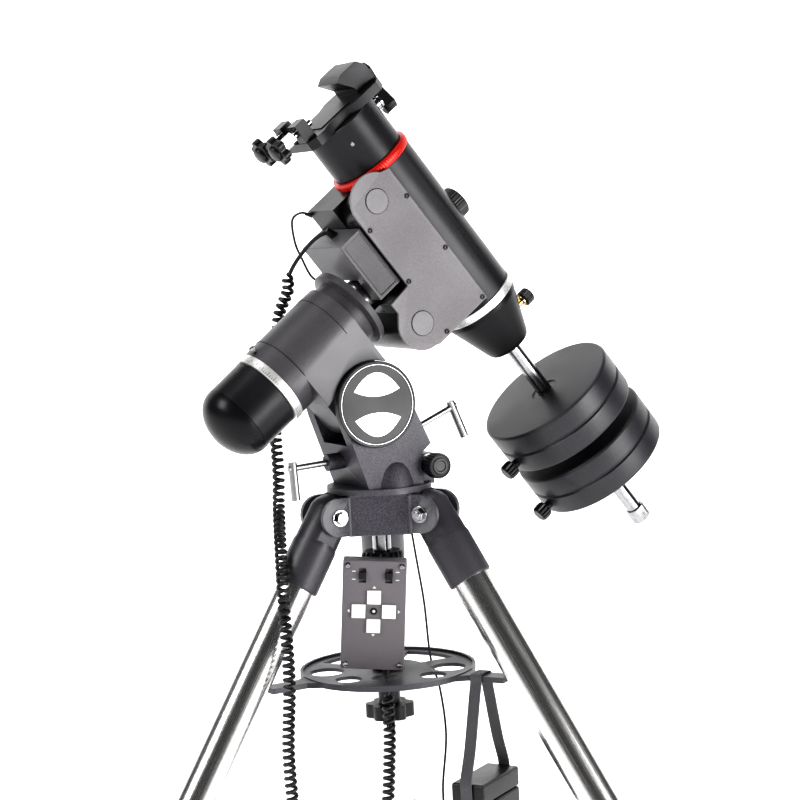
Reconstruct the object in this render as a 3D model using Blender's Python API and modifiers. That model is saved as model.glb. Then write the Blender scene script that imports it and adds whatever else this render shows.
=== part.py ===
"""A telescope mount on a steel-tube tripod: a German equatorial head with a two-axis
motor drive, two counterweights, an accessory tray and a hand controller.

Metres, +Z up.  The floor is Z = 0.  The tripod's two front legs point to -Y.
The head's pieces are given in the polar frame: +X runs up the polar axis, +Z runs up the
declination axis to the saddle, -Y is the near side, and the two axes cross at its origin.
"""

from math import cos, pi, radians, sin

import bmesh
import bpy
from mathutils import Matrix, Vector

# ---- Driving dimensions ------------------------------------------------------------
LARGE_SIDES, MIDDLE_SIDES, SMALL_SIDES = 36, 20, 12   # flats round a turned piece
GAP = 0.0003                  # between pieces that touch
LEG_ANGLES = {"left": radians(210), "right": radians(330), "rear": radians(90)}
LEG_SPLAY = radians(31.5)     # from the vertical
HINGE_RADIUS = 0.059          # from the tripod's axis to the leg hinges
FOOT_DISTANCE = 0.772         # from a hinge, along the leg, to the middle of its foot
FOOT_RADIUS = 0.018
FOOT_FLAT = 0.002             # how much of the foot's ball the floor cuts off
TUBE_RADIUS = 0.019
LOWER_TUBE_RADIUS = 0.016
TUBE_WALL = 0.0016

MOUNT_YAW = radians(28)       # the head's meridian plane, turned from +X towards +Y
LATITUDE = radians(38.3)      # the polar axis above the horizontal
PIVOT_BACK = 0.021            # altitude pivot, behind the azimuth axis
POLAR_TO_PIVOT = 0.075        # polar axis above the altitude pivot
DEC_TO_PIVOT = 0.1695         # declination axis ahead of the altitude pivot
HOUSING_RADIUS = 0.0395
DEC_RADIUS = 0.042
WEIGHT_RADIUS = 0.075
WEIGHT_THICKNESS = 0.0476
WEIGHT_TOPS = (-0.217, -0.2776)   # along the declination axis
SHAFT_RADIUS = 0.008
BOLT_RADIUS = 0.0042          # the legs' hinge bolts
ROD_RADIUS, THIN_ROD = 0.0093, 0.0052   # the centre rod, above and below its lock knob
CURL_RADIUS = 0.0065          # the curly cord's coils, outside
LEAD_RADIUS = 0.0012

HINGE_HEIGHT = FOOT_DISTANCE * cos(LEG_SPLAY) + FOOT_RADIUS - FOOT_FLAT
PIVOT_HEIGHT = HINGE_HEIGHT + 0.110
TRAY_HEIGHT = PIVOT_HEIGHT - 0.274
LOCK_KNOB_TOP = PIVOT_HEIGHT - 0.152
FOOT_SPREAD = HINGE_RADIUS + FOOT_DISTANCE * sin(LEG_SPLAY)
CENTRE_SHIFT = (0.0, -FOOT_SPREAD / 4, 0.0)   # puts the origin under the box's middle


# ---- Scene, collections and materials ----------------------------------------------
def clear_scene():
    for old in list(bpy.data.objects):
        bpy.data.objects.remove(old, do_unlink=True)


def new_collection(name):
    collection = bpy.data.collections.new(name)
    bpy.context.scene.collection.children.link(collection)
    return collection


clear_scene()
PARTS = new_collection("telescope_mount")
CUTTERS = new_collection("cutters")


def material(name, colour, roughness, metallic=0.0):
    made = bpy.data.materials.new(name)
    made.use_nodes = True
    shader = made.node_tree.nodes["Principled BSDF"]
    shader.inputs["Base Color"].default_value = (*colour, 1.0)
    shader.inputs["Roughness"].default_value = roughness
    shader.inputs["Metallic"].default_value = metallic
    return made


BLACK_PAINT = material("black_paint", (0.03, 0.03, 0.035), 0.4)
GREY_PAINT = material("grey_paint", (0.16, 0.155, 0.165), 0.6)
STEEL = material("brushed_steel", (0.72, 0.71, 0.69), 0.3, 1.0)
CHROME = material("chrome", (0.85, 0.85, 0.86), 0.1, 1.0)
BLACK_PLASTIC = material("black_plastic", (0.02, 0.02, 0.02), 0.45)
SILVER = material("silver_ring", (0.75, 0.75, 0.73), 0.35, 0.9)
RED = material("red_anodised", (0.7, 0.04, 0.03), 0.35, 0.4)
WHITE_PLASTIC = material("white_plastic", (0.85, 0.85, 0.82), 0.4)
RUBBER = material("rubber", (0.02, 0.02, 0.02), 0.8)
WEBBING = material("webbing", (0.09, 0.09, 0.09), 0.9)


# ---- Frames ------------------------------------------------------------------------
def empty(name, location=(0, 0, 0), rotation=(0, 0, 0), parent=None):
    made = bpy.data.objects.new(name, None)
    made.location = location
    made.rotation_euler = rotation
    made.parent = parent
    PARTS.objects.link(made)
    return made


ROOT = empty("mount_origin", CENTRE_SHIFT)
AZIMUTH = empty("azimuth_axis", (0, 0, PIVOT_HEIGHT), (0, 0, MOUNT_YAW), ROOT)
ALTITUDE = empty("altitude_axis", (-PIVOT_BACK, 0, 0), (0, -LATITUDE, 0), AZIMUTH)
POLAR = empty("polar_axis", (DEC_TO_PIVOT, 0, POLAR_TO_PIVOT), parent=ALTITUDE)


# ---- Shapes ------------------------------------------------------------------------
def smooth(mesh):
    mesh.shade_smooth()
    mesh.set_sharp_from_angle(angle=radians(35))


def place(name, mesh, finish, parent, location=(0, 0, 0), rotation=(0, 0, 0)):
    """A named piece of the mount."""
    made = bpy.data.objects.new(name, mesh)
    mesh.materials.append(finish)
    made.parent = parent
    made.location = location
    made.rotation_euler = rotation
    PARTS.objects.link(made)
    return made


def finished(work, name):
    bmesh.ops.recalc_face_normals(work, faces=work.faces)
    mesh = bpy.data.meshes.new(name)
    work.to_mesh(mesh)
    work.free()
    smooth(mesh)
    return mesh


def box_mesh(name, low, high):
    work = bmesh.new()
    size = Vector(high) - Vector(low)
    middle = (Vector(high) + Vector(low)) / 2
    matrix = Matrix.Translation(middle) @ Matrix.Diagonal((*size, 1.0))
    bmesh.ops.create_cube(work, size=1.0, matrix=matrix)
    return finished(work, name)


def rod_mesh(name, start, end, radius, segments=MIDDLE_SIDES, end_radius=None):
    """A cylinder, or a cone, from one point to another."""
    work = bmesh.new()
    along = Vector(end) - Vector(start)
    middle = (Vector(end) + Vector(start)) / 2
    turn = along.to_track_quat("Z", "Y").to_matrix().to_4x4()
    bmesh.ops.create_cone(
        work, cap_ends=True, segments=segments, radius1=radius,
        radius2=radius if end_radius is None else end_radius,
        depth=along.length, matrix=Matrix.Translation(middle) @ turn)
    return finished(work, name)


def ball_mesh(name, centre, radii):
    work = bmesh.new()
    matrix = Matrix.Translation(centre) @ Matrix.Diagonal((*radii, 1.0))
    bmesh.ops.create_uvsphere(work, u_segments=16, v_segments=10, radius=1.0, matrix=matrix)
    return finished(work, name)


def plate_mesh(name, outline, low, high, upright=False):
    """A flat outline made solid from low to high: along Z, or along Y when upright."""
    curve = bpy.data.curves.new(name + "_outline", "CURVE")
    curve.dimensions = "2D"
    curve.fill_mode = "BOTH"
    curve.extrude = (high - low) / 2
    spline = curve.splines.new("POLY")
    spline.points.add(len(outline) - 1)
    for point, (x, y) in zip(spline.points, outline):
        point.co = (x, y, 0, 1)
    spline.use_cyclic_u = True
    guide = bpy.data.objects.new(name + "_outline", curve)
    CUTTERS.objects.link(guide)
    evaluated = guide.evaluated_get(bpy.context.evaluated_depsgraph_get())
    mesh = bpy.data.meshes.new_from_object(evaluated)
    bpy.data.objects.remove(guide, do_unlink=True)
    work = bmesh.new()
    work.from_mesh(mesh)
    bmesh.ops.remove_doubles(work, verts=work.verts, dist=0.00001)
    stand = Matrix.Translation((0, 0, (low + high) / 2))
    if upright:
        stand = Matrix.Rotation(pi / 2, 4, "X") @ Matrix.Translation((0, 0, -(low + high) / 2))
    bmesh.ops.transform(work, matrix=stand, verts=work.verts)
    return finished(work, name)


def turned(name, profile, finish, parent, location=(0, 0, 0), rotation=(0, 0, 0),
           steps=MIDDLE_SIDES, closed=False):
    """A profile of (radius, height) points, top to bottom, turned about its Z axis."""
    work = bmesh.new()
    points = [work.verts.new((radius, 0, height)) for radius, height in profile]
    for first, second in zip(points, points[1:]):
        work.edges.new((first, second))
    if closed:
        work.edges.new((points[-1], points[0]))
    mesh = bpy.data.meshes.new(name)
    work.to_mesh(mesh)
    work.free()
    made = place(name, mesh, finish, parent, location, rotation)
    screw = made.modifiers.new("turn", "SCREW")
    screw.steps = steps
    screw.render_steps = steps
    screw.use_merge_vertices = True
    screw.merge_threshold = 0.00001
    screw.use_smooth_shade = True
    return made


def combine(target, mesh, operation):
    """Joins a mesh to a piece, or cuts it away, in the piece's own frame."""
    tool = bpy.data.objects.new(target.name + "_" + operation.lower(), mesh)
    tool.parent = target
    tool.hide_render = True
    tool.display_type = "WIRE"
    CUTTERS.objects.link(tool)
    boolean = target.modifiers.new(operation.lower(), "BOOLEAN")
    boolean.operation = operation
    boolean.solver = "EXACT"
    boolean.object = tool
    return tool


def join(target, *meshes):
    for mesh in meshes:
        combine(target, mesh, "UNION")


def cut(target, *meshes):
    for mesh in meshes:
        combine(target, mesh, "DIFFERENCE")


def round_edges(piece, width):
    edge = piece.modifiers.new("edges", "BEVEL")
    edge.width = width
    edge.segments = 2


def arc(centre, radius, start, end, count):
    """Points on an arc in a plane, angles in degrees."""
    turns = [radians(start + (end - start) * step / (count - 1)) for step in range(count)]
    return [(centre[0] + radius * cos(a), centre[1] + radius * sin(a)) for a in turns]


def lobed_outline(radius, depth, lobes, points_per_lobe=4):
    count = lobes * points_per_lobe
    turns = [2 * pi * step / count for step in range(count)]
    return [((radius - depth * (1 - cos(lobes * a)) / 2) * cos(a),
             (radius - depth * (1 - cos(lobes * a)) / 2) * sin(a)) for a in turns]


def smooth_route(points, spacing):
    """Evenly spaced points on a smooth curve through the route's own points."""
    route = [Vector(point) for point in points]
    route = [2 * route[0] - route[1], *route, 2 * route[-1] - route[-2]]
    dense = []
    for p0, p1, p2, p3 in zip(route, route[1:], route[2:], route[3:]):
        for step in range(20):
            t = step / 20
            dense.append(0.5 * (2 * p1 + (p2 - p0) * t + (2 * p0 - 5 * p1 + 4 * p2 - p3) * t * t
                                + (3 * p1 - p0 - 3 * p2 + p3) * t ** 3))
    dense.append(route[-2])
    length = sum((b - a).length for a, b in zip(dense, dense[1:]))
    count = max(2, round(length / spacing))
    even, target, walked = [dense[0]], length / count, 0.0
    for a, b in zip(dense, dense[1:]):
        walked += (b - a).length
        if walked >= target * len(even) and len(even) < count:
            even.append(b)
    even.append(dense[-1])
    return even


def cord(name, points, radius, finish, parent, resolution=2, spacing=0.024):
    curve = bpy.data.curves.new(name, "CURVE")
    curve.dimensions = "3D"
    curve.bevel_depth = radius
    curve.bevel_resolution = resolution
    curve.use_fill_caps = True
    curve.materials.append(finish)
    route = smooth_route(points, spacing)
    spline = curve.splines.new("POLY")
    spline.points.add(len(route) - 1)
    for point, place_at in zip(spline.points, route):
        point.co = (*place_at, 1)
    made = bpy.data.objects.new(name, curve)
    made.parent = parent
    PARTS.objects.link(made)
    return made


# ---- Tripod ------------------------------------------------------------------------
EAR_INNER, EAR_OUTER = 0.0193, 0.0243     # the ears' faces, either side of a leg
EAR_RADIUS = 0.0190
HUB_TOP, HUB_BOTTOM = 0.020, -0.0200      # from the hinges' height
ROD_BORE = 0.0106


def around(angle, radial, tangential):
    return (radial * cos(angle) - tangential * sin(angle),
            radial * sin(angle) + tangential * cos(angle))


def tripod_hub():
    """The casting that holds the legs between three pairs of ears."""
    corner, pocket, inside, past = 0.048, 0.037, 0.030, 0.04
    wall = EAR_OUTER - 0.001
    outline = [around(angle, corner, side * wall)
               for angle in sorted(LEG_ANGLES.values()) for side in (-1, 1)]
    mesh = plate_mesh("tripod_hub", outline, HUB_BOTTOM, HUB_TOP)
    hub = place("tripod_hub", mesh, BLACK_PAINT, ROOT, (0, 0, HINGE_HEIGHT))
    ear = (arc((HINGE_RADIUS, 0), EAR_RADIUS, -90, 90, 13)
           + [(inside, EAR_RADIUS), (inside, -EAR_RADIUS)])
    for angle in LEG_ANGLES.values():
        block = plate_mesh("ears", ear, -EAR_OUTER, EAR_OUTER, upright=True)
        block.transform(Matrix.Rotation(angle, 4, "Z"))
        join(hub, block)
    for angle in LEG_ANGLES.values():
        space = box_mesh("pocket", (pocket, -EAR_INNER, -past), (0.12, EAR_INNER, past))
        hole = rod_mesh("bolt_hole", (HINGE_RADIUS, -past, 0), (HINGE_RADIUS, past, 0),
                        BOLT_RADIUS + GAP, SMALL_SIDES)
        for tool in (space, hole):
            tool.transform(Matrix.Rotation(angle, 4, "Z"))
            cut(hub, tool)
    cut(hub, rod_mesh("rod_bore", (0, 0, -past), (0, 0, past), ROD_BORE, MIDDLE_SIDES))


def hinge_bolt(side, frame):
    """The bolt that a leg turns on, with a hex head at one end and a round nut at the other."""
    reach = EAR_OUTER + GAP
    hex_radius, nut_radius, thick, proud = 0.0065, 0.0085, 0.0055, 0.0060
    shank = rod_mesh("shank", (0, -reach - proud, 0), (0, reach + proud, 0), BOLT_RADIUS, SMALL_SIDES)
    bolt = place("hinge_bolt_" + side, shank, CHROME, frame)
    join(bolt, rod_mesh("nut", (0, -reach - thick, 0), (0, -reach, 0), nut_radius, SMALL_SIDES))
    join(bolt, rod_mesh("hex_head", (0, reach, 0), (0, reach + thick, 0), hex_radius, 6))


HEAD_END = -0.078             # a leg head's lower end, along the leg
SOCKET_TOP = -0.060           # and the top of the tube in it


def leg_head(side, frame):
    """The cast top of a leg, with a ball end between the hub's ears."""
    radius, sleeve, shoulder, past = 0.0215, 0.0225, -0.030, 0.030
    ball = [(0.0, radius)] + [(radius * cos(radians(a)), radius * sin(radians(a)))
                              for a in (70, 50, 30, 12)]
    profile = ball + [(radius, shoulder), (sleeve, shoulder - 0.004), (sleeve, HEAD_END + 0.002),
                      (radius, HEAD_END), (TUBE_RADIUS + GAP, HEAD_END),
                      (TUBE_RADIUS + GAP, SOCKET_TOP), (0.0, SOCKET_TOP)]
    head = turned("leg_head_" + side, profile, BLACK_PAINT, frame, steps=MIDDLE_SIDES)
    flat, flat_end = EAR_INNER - GAP, shoulder + 0.0015
    for low, high in ((flat, past), (-past, -flat)):
        cut(head, box_mesh("flat", (-past, low, flat_end), (past, high, past)))
    cut(head, rod_mesh("bolt_hole", (0, -past, 0), (0, past, 0), BOLT_RADIUS + GAP, SMALL_SIDES))


COLLAR_TOP, COLLAR_END = -0.468, -0.506   # the clamp collar, along the leg
COLLAR_RADIUS = 0.0235


def upper_leg(side, frame):
    """The upper steel tube with its clamp collar."""
    inner, top = TUBE_RADIUS - TUBE_WALL, SOCKET_TOP - GAP
    throat, throat_top = LOWER_TUBE_RADIUS + GAP, COLLAR_END + 0.020
    profile = [(inner, top), (TUBE_RADIUS, top), (TUBE_RADIUS, COLLAR_TOP),
               (COLLAR_RADIUS, COLLAR_TOP - 0.002), (COLLAR_RADIUS, COLLAR_END + 0.002),
               (COLLAR_RADIUS - 0.002, COLLAR_END), (throat, COLLAR_END), (throat, throat_top),
               (inner, throat_top)]
    turned("upper_leg_" + side, profile, STEEL, frame, steps=MIDDLE_SIDES, closed=True)


def lower_leg(side, frame):
    """The lower tube, open at its top, with its rubber foot cut flat at the floor."""
    inner = LOWER_TUBE_RADIUS - TUBE_WALL
    top, foot_top = -0.100, -FOOT_DISTANCE + 0.040
    ball = [(FOOT_RADIUS * cos(radians(a)), -FOOT_DISTANCE - FOOT_RADIUS * sin(radians(a)))
            for a in (0, 18, 36, 54, 72)]
    profile = [(0.0, foot_top), (inner, foot_top), (inner, top), (LOWER_TUBE_RADIUS, top),
               (LOWER_TUBE_RADIUS, foot_top), (FOOT_RADIUS, foot_top)]
    profile += ball + [(0.0, -FOOT_DISTANCE - FOOT_RADIUS)]
    leg = turned("lower_leg_" + side, profile, STEEL, frame, steps=MIDDLE_SIDES)
    tool = combine(leg, box_mesh("floor", (-1, -1, -0.2), (1, 1, 0)), "DIFFERENCE")
    tool.parent = None


def leg_lock_knob(side, frame):
    height = (COLLAR_TOP + COLLAR_END) / 2
    hub, stem, tip = 0.008, 0.005, 0.022
    profile = [(0.0, tip), (hub - 0.002, tip), (hub, tip - 0.002), (hub, 0.006), (stem, 0.005),
               (stem, 0.0), (0.0, 0.0)]
    knob = turned("leg_lock_knob_" + side, profile, BLACK_PLASTIC, frame,
                  (COLLAR_RADIUS + GAP, 0, height), (0, pi / 2, 0), steps=SMALL_SIDES)
    join(knob, box_mesh("wing", (-0.0035, -0.017, 0.008), (0.0035, 0.017, 0.019)))


def legs():
    for side, angle in LEG_ANGLES.items():
        location = (*around(angle, HINGE_RADIUS, 0), HINGE_HEIGHT)
        upright = empty("hinge_" + side, location, (0, 0, angle), ROOT)
        along = empty("leg_axis_" + side, (0, 0, 0), (0, -LEG_SPLAY, 0), upright)
        hinge_bolt(side, upright)
        leg_head(side, along)
        upper_leg(side, along)
        lower_leg(side, along)
        leg_lock_knob(side, along)


TRAY_RADIUS = 0.088
TRAY_REACH = 0.1352           # to an arm's tip, by its leg
CORD_HOLE = (-0.003, -0.044, 0.0135)      # X, Y and radius, beside the tray's boss
EYEPIECE_HOLES = ((228, 0.058, 0.0135), (318, 0.060, 0.0135),     # angle, distance and radius
                  (186, 0.062, 0.0175), (352, 0.062, 0.0175))


def accessory_tray():
    """A round tray with eyepiece holes, a raised rim and an arm to each leg."""
    floor, rim_top = -0.0015, 0.0038
    root_wide, arm_wide = 0.022, 0.0095
    inner, neck, tip = TRAY_RADIUS - 0.008, TRAY_RADIUS + 0.009, TRAY_REACH
    mesh = rod_mesh("accessory_tray", (0, 0, floor), (0, 0, -floor), TRAY_RADIUS, LARGE_SIDES)
    tray = place("accessory_tray", mesh, BLACK_PLASTIC, ROOT, (0, 0, TRAY_HEIGHT))
    for angle in LEG_ANGLES.values():
        half = [(inner, -root_wide), (neck, -arm_wide), (tip, -arm_wide)]
        outline = [around(angle, *point) for point in half + [(x, -y) for x, y in reversed(half)]]
        join(tray, plate_mesh("arm", outline, floor - 0.001, 0.003))
    rim = rod_mesh("rim", (0, 0, -0.002), (0, 0, rim_top), TRAY_RADIUS + 0.001, LARGE_SIDES)
    join(tray, rim)
    cut(tray, rod_mesh("dish", (0, 0, -floor), (0, 0, 0.02), TRAY_RADIUS - 0.002, LARGE_SIDES))
    join(tray, rod_mesh("boss", (0, 0, -0.010), (0, 0, 0.006), 0.016, MIDDLE_SIDES))
    cut(tray, rod_mesh("rod_bore", (0, 0, -0.02), (0, 0, 0.02), THIN_ROD + GAP, SMALL_SIDES))
    for turn, radial, radius in EYEPIECE_HOLES:
        x, y = around(radians(turn), radial, 0)
        cut(tray, rod_mesh("eyepiece_hole", (x, y, -0.02), (x, y, 0.02), radius, MIDDLE_SIDES))
    x, y, radius = CORD_HOLE
    cut(tray, rod_mesh("cord_hole", (x, y, -0.02), (x, y, 0.02), radius, MIDDLE_SIDES))
    for first, last in ((28, 74), (106, 152)):
        slot = (arc((0, 0), 0.076, first, last, 9) + arc((0, 0), 0.038, last, first, 7))
        cut(tray, plate_mesh("slot", slot, -0.02, 0.02))


def tray_knob():
    mesh = plate_mesh("tray_knob", lobed_outline(0.0245, 0.005, 6), -0.007, 0.007)
    knob = place("tray_knob", mesh, BLACK_PLASTIC, ROOT, (0, 0, TRAY_HEIGHT - 0.041))
    join(knob, rod_mesh("boss", (0, 0, 0.005), (0, 0, 0.0307), 0.011, MIDDLE_SIDES))
    cut(knob, rod_mesh("bore", (0, 0, -0.02), (0, 0, 0.04), THIN_ROD + GAP, SMALL_SIDES))


def centre_rod():
    """The rod through the hub, its lock knob, and the thin rod that holds the tray."""
    top, bottom = HINGE_HEIGHT + 0.012, TRAY_HEIGHT - 0.066
    knob_low = LOCK_KNOB_TOP - 0.020
    profile = [(0.0, top), (ROD_RADIUS, top), (ROD_RADIUS, LOCK_KNOB_TOP),
               (0.019, LOCK_KNOB_TOP - 0.002), (0.021, LOCK_KNOB_TOP - 0.005),
               (0.021, knob_low + 0.003), (0.018, knob_low), (THIN_ROD, knob_low),
               (THIN_ROD, bottom), (0.0, bottom)]
    turned("centre_rod", profile, CHROME, ROOT, steps=MIDDLE_SIDES)


# ---- Azimuth base ------------------------------------------------------------------
BASE_BOTTOM = -0.110 + HUB_TOP + GAP      # below the altitude pivot
CHEEK_INNER = 0.0253
CHEEK_RADIUS = 0.037
TONGUE_RADIUS = 0.034
FRONT_BOLT = (Vector((0.030, 0, -0.0385)), Vector((0.925, 0, 0.38)).normalized())
REAR_BOLT = (Vector((-0.045, 0, -0.0570)), Vector((-1.0, 0, -0.052)).normalized())
AZIMUTH_KNOB_AT = (0.041, -0.066)         # the knobs' axis, ahead of and below the pivot


def azimuth_base():
    pivot = (-PIVOT_BACK, 0)
    cheek = (arc(pivot, CHEEK_RADIUS, 25, 200, 15)
             + [(-0.030, BASE_BOTTOM + 0.003), (0.030, BASE_BOTTOM + 0.003), (0.030, -0.052),
                (0.040, -0.044)])
    mesh = plate_mesh("azimuth_base", cheek, -HOUSING_RADIUS, HOUSING_RADIUS, upright=True)
    base = place("azimuth_base", mesh, GREY_PAINT, AZIMUTH)
    join(base, rod_mesh("flange", (0, 0, BASE_BOTTOM - 0.002), (0, 0, BASE_BOTTOM + 0.006), 0.0525,
                        LARGE_SIDES))
    join(base, ball_mesh("swelling", (0.0, -0.030, BASE_BOTTOM + 0.001), (0.022, 0.020, 0.034)))
    join(base, ball_mesh("swelling", (0.0, 0.030, BASE_BOTTOM + 0.001), (0.022, 0.020, 0.034)))
    x, z = AZIMUTH_KNOB_AT
    join(base, box_mesh("screw_bracket", (0.028, -0.023, BASE_BOTTOM + 0.003),
                        (x + 0.010, 0.023, z + 0.010)))
    start, along = REAR_BOLT
    join(base, rod_mesh("boss", start + along * -0.012, start + along * 0.012, 0.0085, MIDDLE_SIDES))
    cut(base, box_mesh("below", (-0.08, -0.08, -0.15), (0.08, 0.08, BASE_BOTTOM)))
    cut(base, box_mesh("slot", (-0.09, -CHEEK_INNER, -0.040), (0.0145, CHEEK_INNER, 0.06)))
    for start, along in (FRONT_BOLT, REAR_BOLT):
        cut(base, rod_mesh("bolt_hole", start - along * 0.026, start + along * 0.03, 0.0036, SMALL_SIDES))
    cut(base, rod_mesh("screw_hole", (x, -0.04, z), (x, 0.04, z), 0.0046, SMALL_SIDES))
    for end in (-1, 1):
        cut(base, rod_mesh("knob_room", (x, end * 0.0345, z), (x, end * 0.0600, z), 0.0133, MIDDLE_SIDES))
    cut(base, rod_mesh("foot_bore", (0, 0, -0.12), (0, 0, BASE_BOTTOM + 0.016), ROD_BORE, MIDDLE_SIDES))


def azimuth_knob(name, side):
    x, z = AZIMUTH_KNOB_AT
    turn = pi / 2 if side < 0 else -pi / 2
    tip, grip_end, collar_start, screw_end = 0.0560, 0.0400, 0.0300, 0.0060
    grip, collar, screw = 0.0128, 0.0105, 0.0042
    profile = [(0.0, tip), (0.0080, tip), (0.0085, 0.0548), (0.0115, 0.0548), (grip, 0.0535),
               (grip, grip_end + 0.001), (collar, grip_end), (collar, collar_start),
               (screw, collar_start), (screw, screw_end), (0.0, screw_end)]
    turned(name, profile, BLACK_PLASTIC, AZIMUTH, (x, 0, z), (turn, 0, 0), steps=MIDDLE_SIDES)


def altitude_bolt(name, spec, length, sink, drop):
    """A threaded rod with a bent handle, that pushes the altitude lug."""
    rod_radius, handle_radius, inset, proud = 0.0031, 0.0043, 0.005, 0.006
    start, along = spec
    inner, outer = start - along * sink, start + along * length
    mesh = rod_mesh(name, inner, outer, rod_radius, SMALL_SIDES)
    bolt = place(name, mesh, CHROME, AZIMUTH)
    downward = Vector((-along.z, 0, along.x)) * (-1 if along.x > 0 else 1)
    top = outer - along * inset - downward * proud
    join(bolt, rod_mesh("handle", top, top + downward * drop, handle_radius, SMALL_SIDES))


def altitude_disc():
    turned("altitude_disc", [(0.0, 0.0460), (0.040, 0.0460), (0.0425, 0.0440),
                             (0.0425, HOUSING_RADIUS + GAP), (0.0, HOUSING_RADIUS + GAP)],
           BLACK_PLASTIC, AZIMUTH, (-PIVOT_BACK, 0, 0), (pi / 2, 0, 0), steps=LARGE_SIDES)


# ---- Polar (right ascension) housing -----------------------------------------------
BORE = 0.0250
LUG_BACK, LUG_FRONT = -0.207, -0.1315     # the flat lug, along the polar axis
FLANGE_TOP = -0.110
ALONG_POLAR = (0, pi / 2, 0)              # turns a piece's Z onto the polar axis


def ra_housing():
    spigot = 0.0300
    profile = [(0.0, FLANGE_TOP), (0.0440, FLANGE_TOP), (0.0440, -0.1165), (0.0365, -0.1185),
               (0.0365, LUG_FRONT + 0.001), (HOUSING_RADIUS, LUG_FRONT + 0.001),
               (HOUSING_RADIUS, -0.225), (spigot, -0.225), (spigot, -0.2345), (0.0, -0.2345)]
    housing = turned("ra_housing", profile, GREY_PAINT, POLAR, rotation=ALONG_POLAR, steps=LARGE_SIDES)
    pivot = (-DEC_TO_PIVOT, -POLAR_TO_PIVOT)
    to_local = Matrix.Rotation(-pi / 2, 4, "Y")
    lug = ([(LUG_BACK, -0.003), (LUG_BACK, -0.043)] + arc(pivot, 0.0435, 128, 32, 9)
           + [(LUG_FRONT, -0.052), (LUG_FRONT, -0.003)])
    tongue = (arc(pivot, TONGUE_RADIUS, 180, 360, 15)
              + [(pivot[0] + TONGUE_RADIUS, -0.030), (pivot[0] - TONGUE_RADIUS, -0.030)])
    flat, narrow = HOUSING_RADIUS - 0.0006, CHEEK_INNER - GAP
    solids = [plate_mesh("lug", lug, -flat, flat, upright=True),
              plate_mesh("tongue", tongue, -narrow, narrow, upright=True)]
    for mesh in solids:
        mesh.transform(to_local)
        join(housing, mesh)
    clear = rod_mesh("bore", (0, 0, -0.30), (0, 0, -0.05), BORE, LARGE_SIDES)
    cut(housing, clear)


def ra_setting_circle():
    turned("ra_setting_circle",
           [(0.0303, -0.2253), (0.0405, -0.2253), (0.0405, -0.2345), (0.0303, -0.2345)],
           SILVER, POLAR, rotation=ALONG_POLAR, steps=LARGE_SIDES, closed=True)


def polar_scope_cap():
    """A deep cap with a domed end."""
    radius, wall, rim, shoulder, dome = 0.0380, 0.003, -0.2348, -0.275, 0.028
    outer = [(radius, rim), (radius, shoulder)]
    outer += [(radius * cos(radians(a)), shoulder - dome * sin(radians(a)))
              for a in (18, 36, 54, 72)]
    outer += [(0.0, shoulder - dome)]
    inner = [(0.0, shoulder), (radius - wall, shoulder), (radius - wall, rim)]
    turned("polar_scope_cap", inner + outer, BLACK_PAINT, POLAR, rotation=ALONG_POLAR, steps=LARGE_SIDES)


def ra_shaft():
    neck = 0.0195
    profile = [(0.0, -0.0683), (neck, -0.0683), (neck, -0.1120), (BORE - GAP, -0.1140),
               (BORE - GAP, -0.2340), (0.0, -0.2340)]
    turned("ra_shaft", profile, STEEL, POLAR, rotation=ALONG_POLAR, steps=MIDDLE_SIDES)


# ---- Declination housing -----------------------------------------------------------
DEC_TOP, DEC_BOTTOM = 0.088, -0.085
BOX_BACK, BOX_FRONT = -0.068, -0.008
BOX_SIDE = 0.043
LOWER_LOBE, UPPER_LOBE, LOBE_RADIUS = (-0.080, -0.049), (-0.0395, 0.0735), 0.0270
PLATE_BOTTOM = -0.079


def lower_outline(back, front, inset=0.0):
    """The gear box's outline up to its notch, seen from the near side, in polar X and Z."""
    bottom, ledge = PLATE_BOTTOM + inset, -0.094
    outline = [(front, bottom), (LOWER_LOBE[0] + 0.002, bottom + 0.001)]
    outline += arc(LOWER_LOBE, LOBE_RADIUS - inset, 265, 150, 9)
    return outline + [(ledge, -0.024), (ledge, -0.0125), (back, -0.0105)]


def box_outline():
    """The gear box stops below the turning head's ring."""
    inset = 0.0006
    back, front = BOX_BACK + inset, BOX_FRONT - inset
    outline = [(front, DEC_TOP - 0.005)] + lower_outline(back, front, inset) + [(back, 0.060)]
    return outline + arc((-0.041, 0.061), LOBE_RADIUS - inset, 180, 90, 8) + [(-0.020, DEC_TOP - inset)]


def cover_outline():
    """The side plate reaches up past the ring, in front of it."""
    outline = [(BOX_FRONT, DEC_TOP + 0.0005)] + lower_outline(BOX_BACK, BOX_FRONT)
    return outline + arc(UPPER_LOBE, LOBE_RADIUS + 0.0015, 180, 40, 12)


def dec_housing():
    """The declination tube with the gear box cast on its side."""
    mesh = plate_mesh("dec_housing", box_outline(), -BOX_SIDE, BOX_SIDE, upright=True)
    housing = place("dec_housing", mesh, BLACK_PAINT, POLAR)
    join(housing, box_mesh("motor_box", (BOX_BACK, -0.012, 0.030), (-0.010, 0.0445, 0.0875)))
    join(housing, rod_mesh("dec_tube", (0, 0, DEC_BOTTOM), (0, 0, DEC_TOP), DEC_RADIUS, LARGE_SIDES))
    cut(housing, rod_mesh("shaft_bore", (0, 0, 0.020), (0, 0, 0.20), BORE, LARGE_SIDES))
    cut(housing, box_mesh("neck_room", (-0.13, -0.022, -0.023), (BOX_BACK + 0.0001, 0.05, 0.03)))


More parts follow.
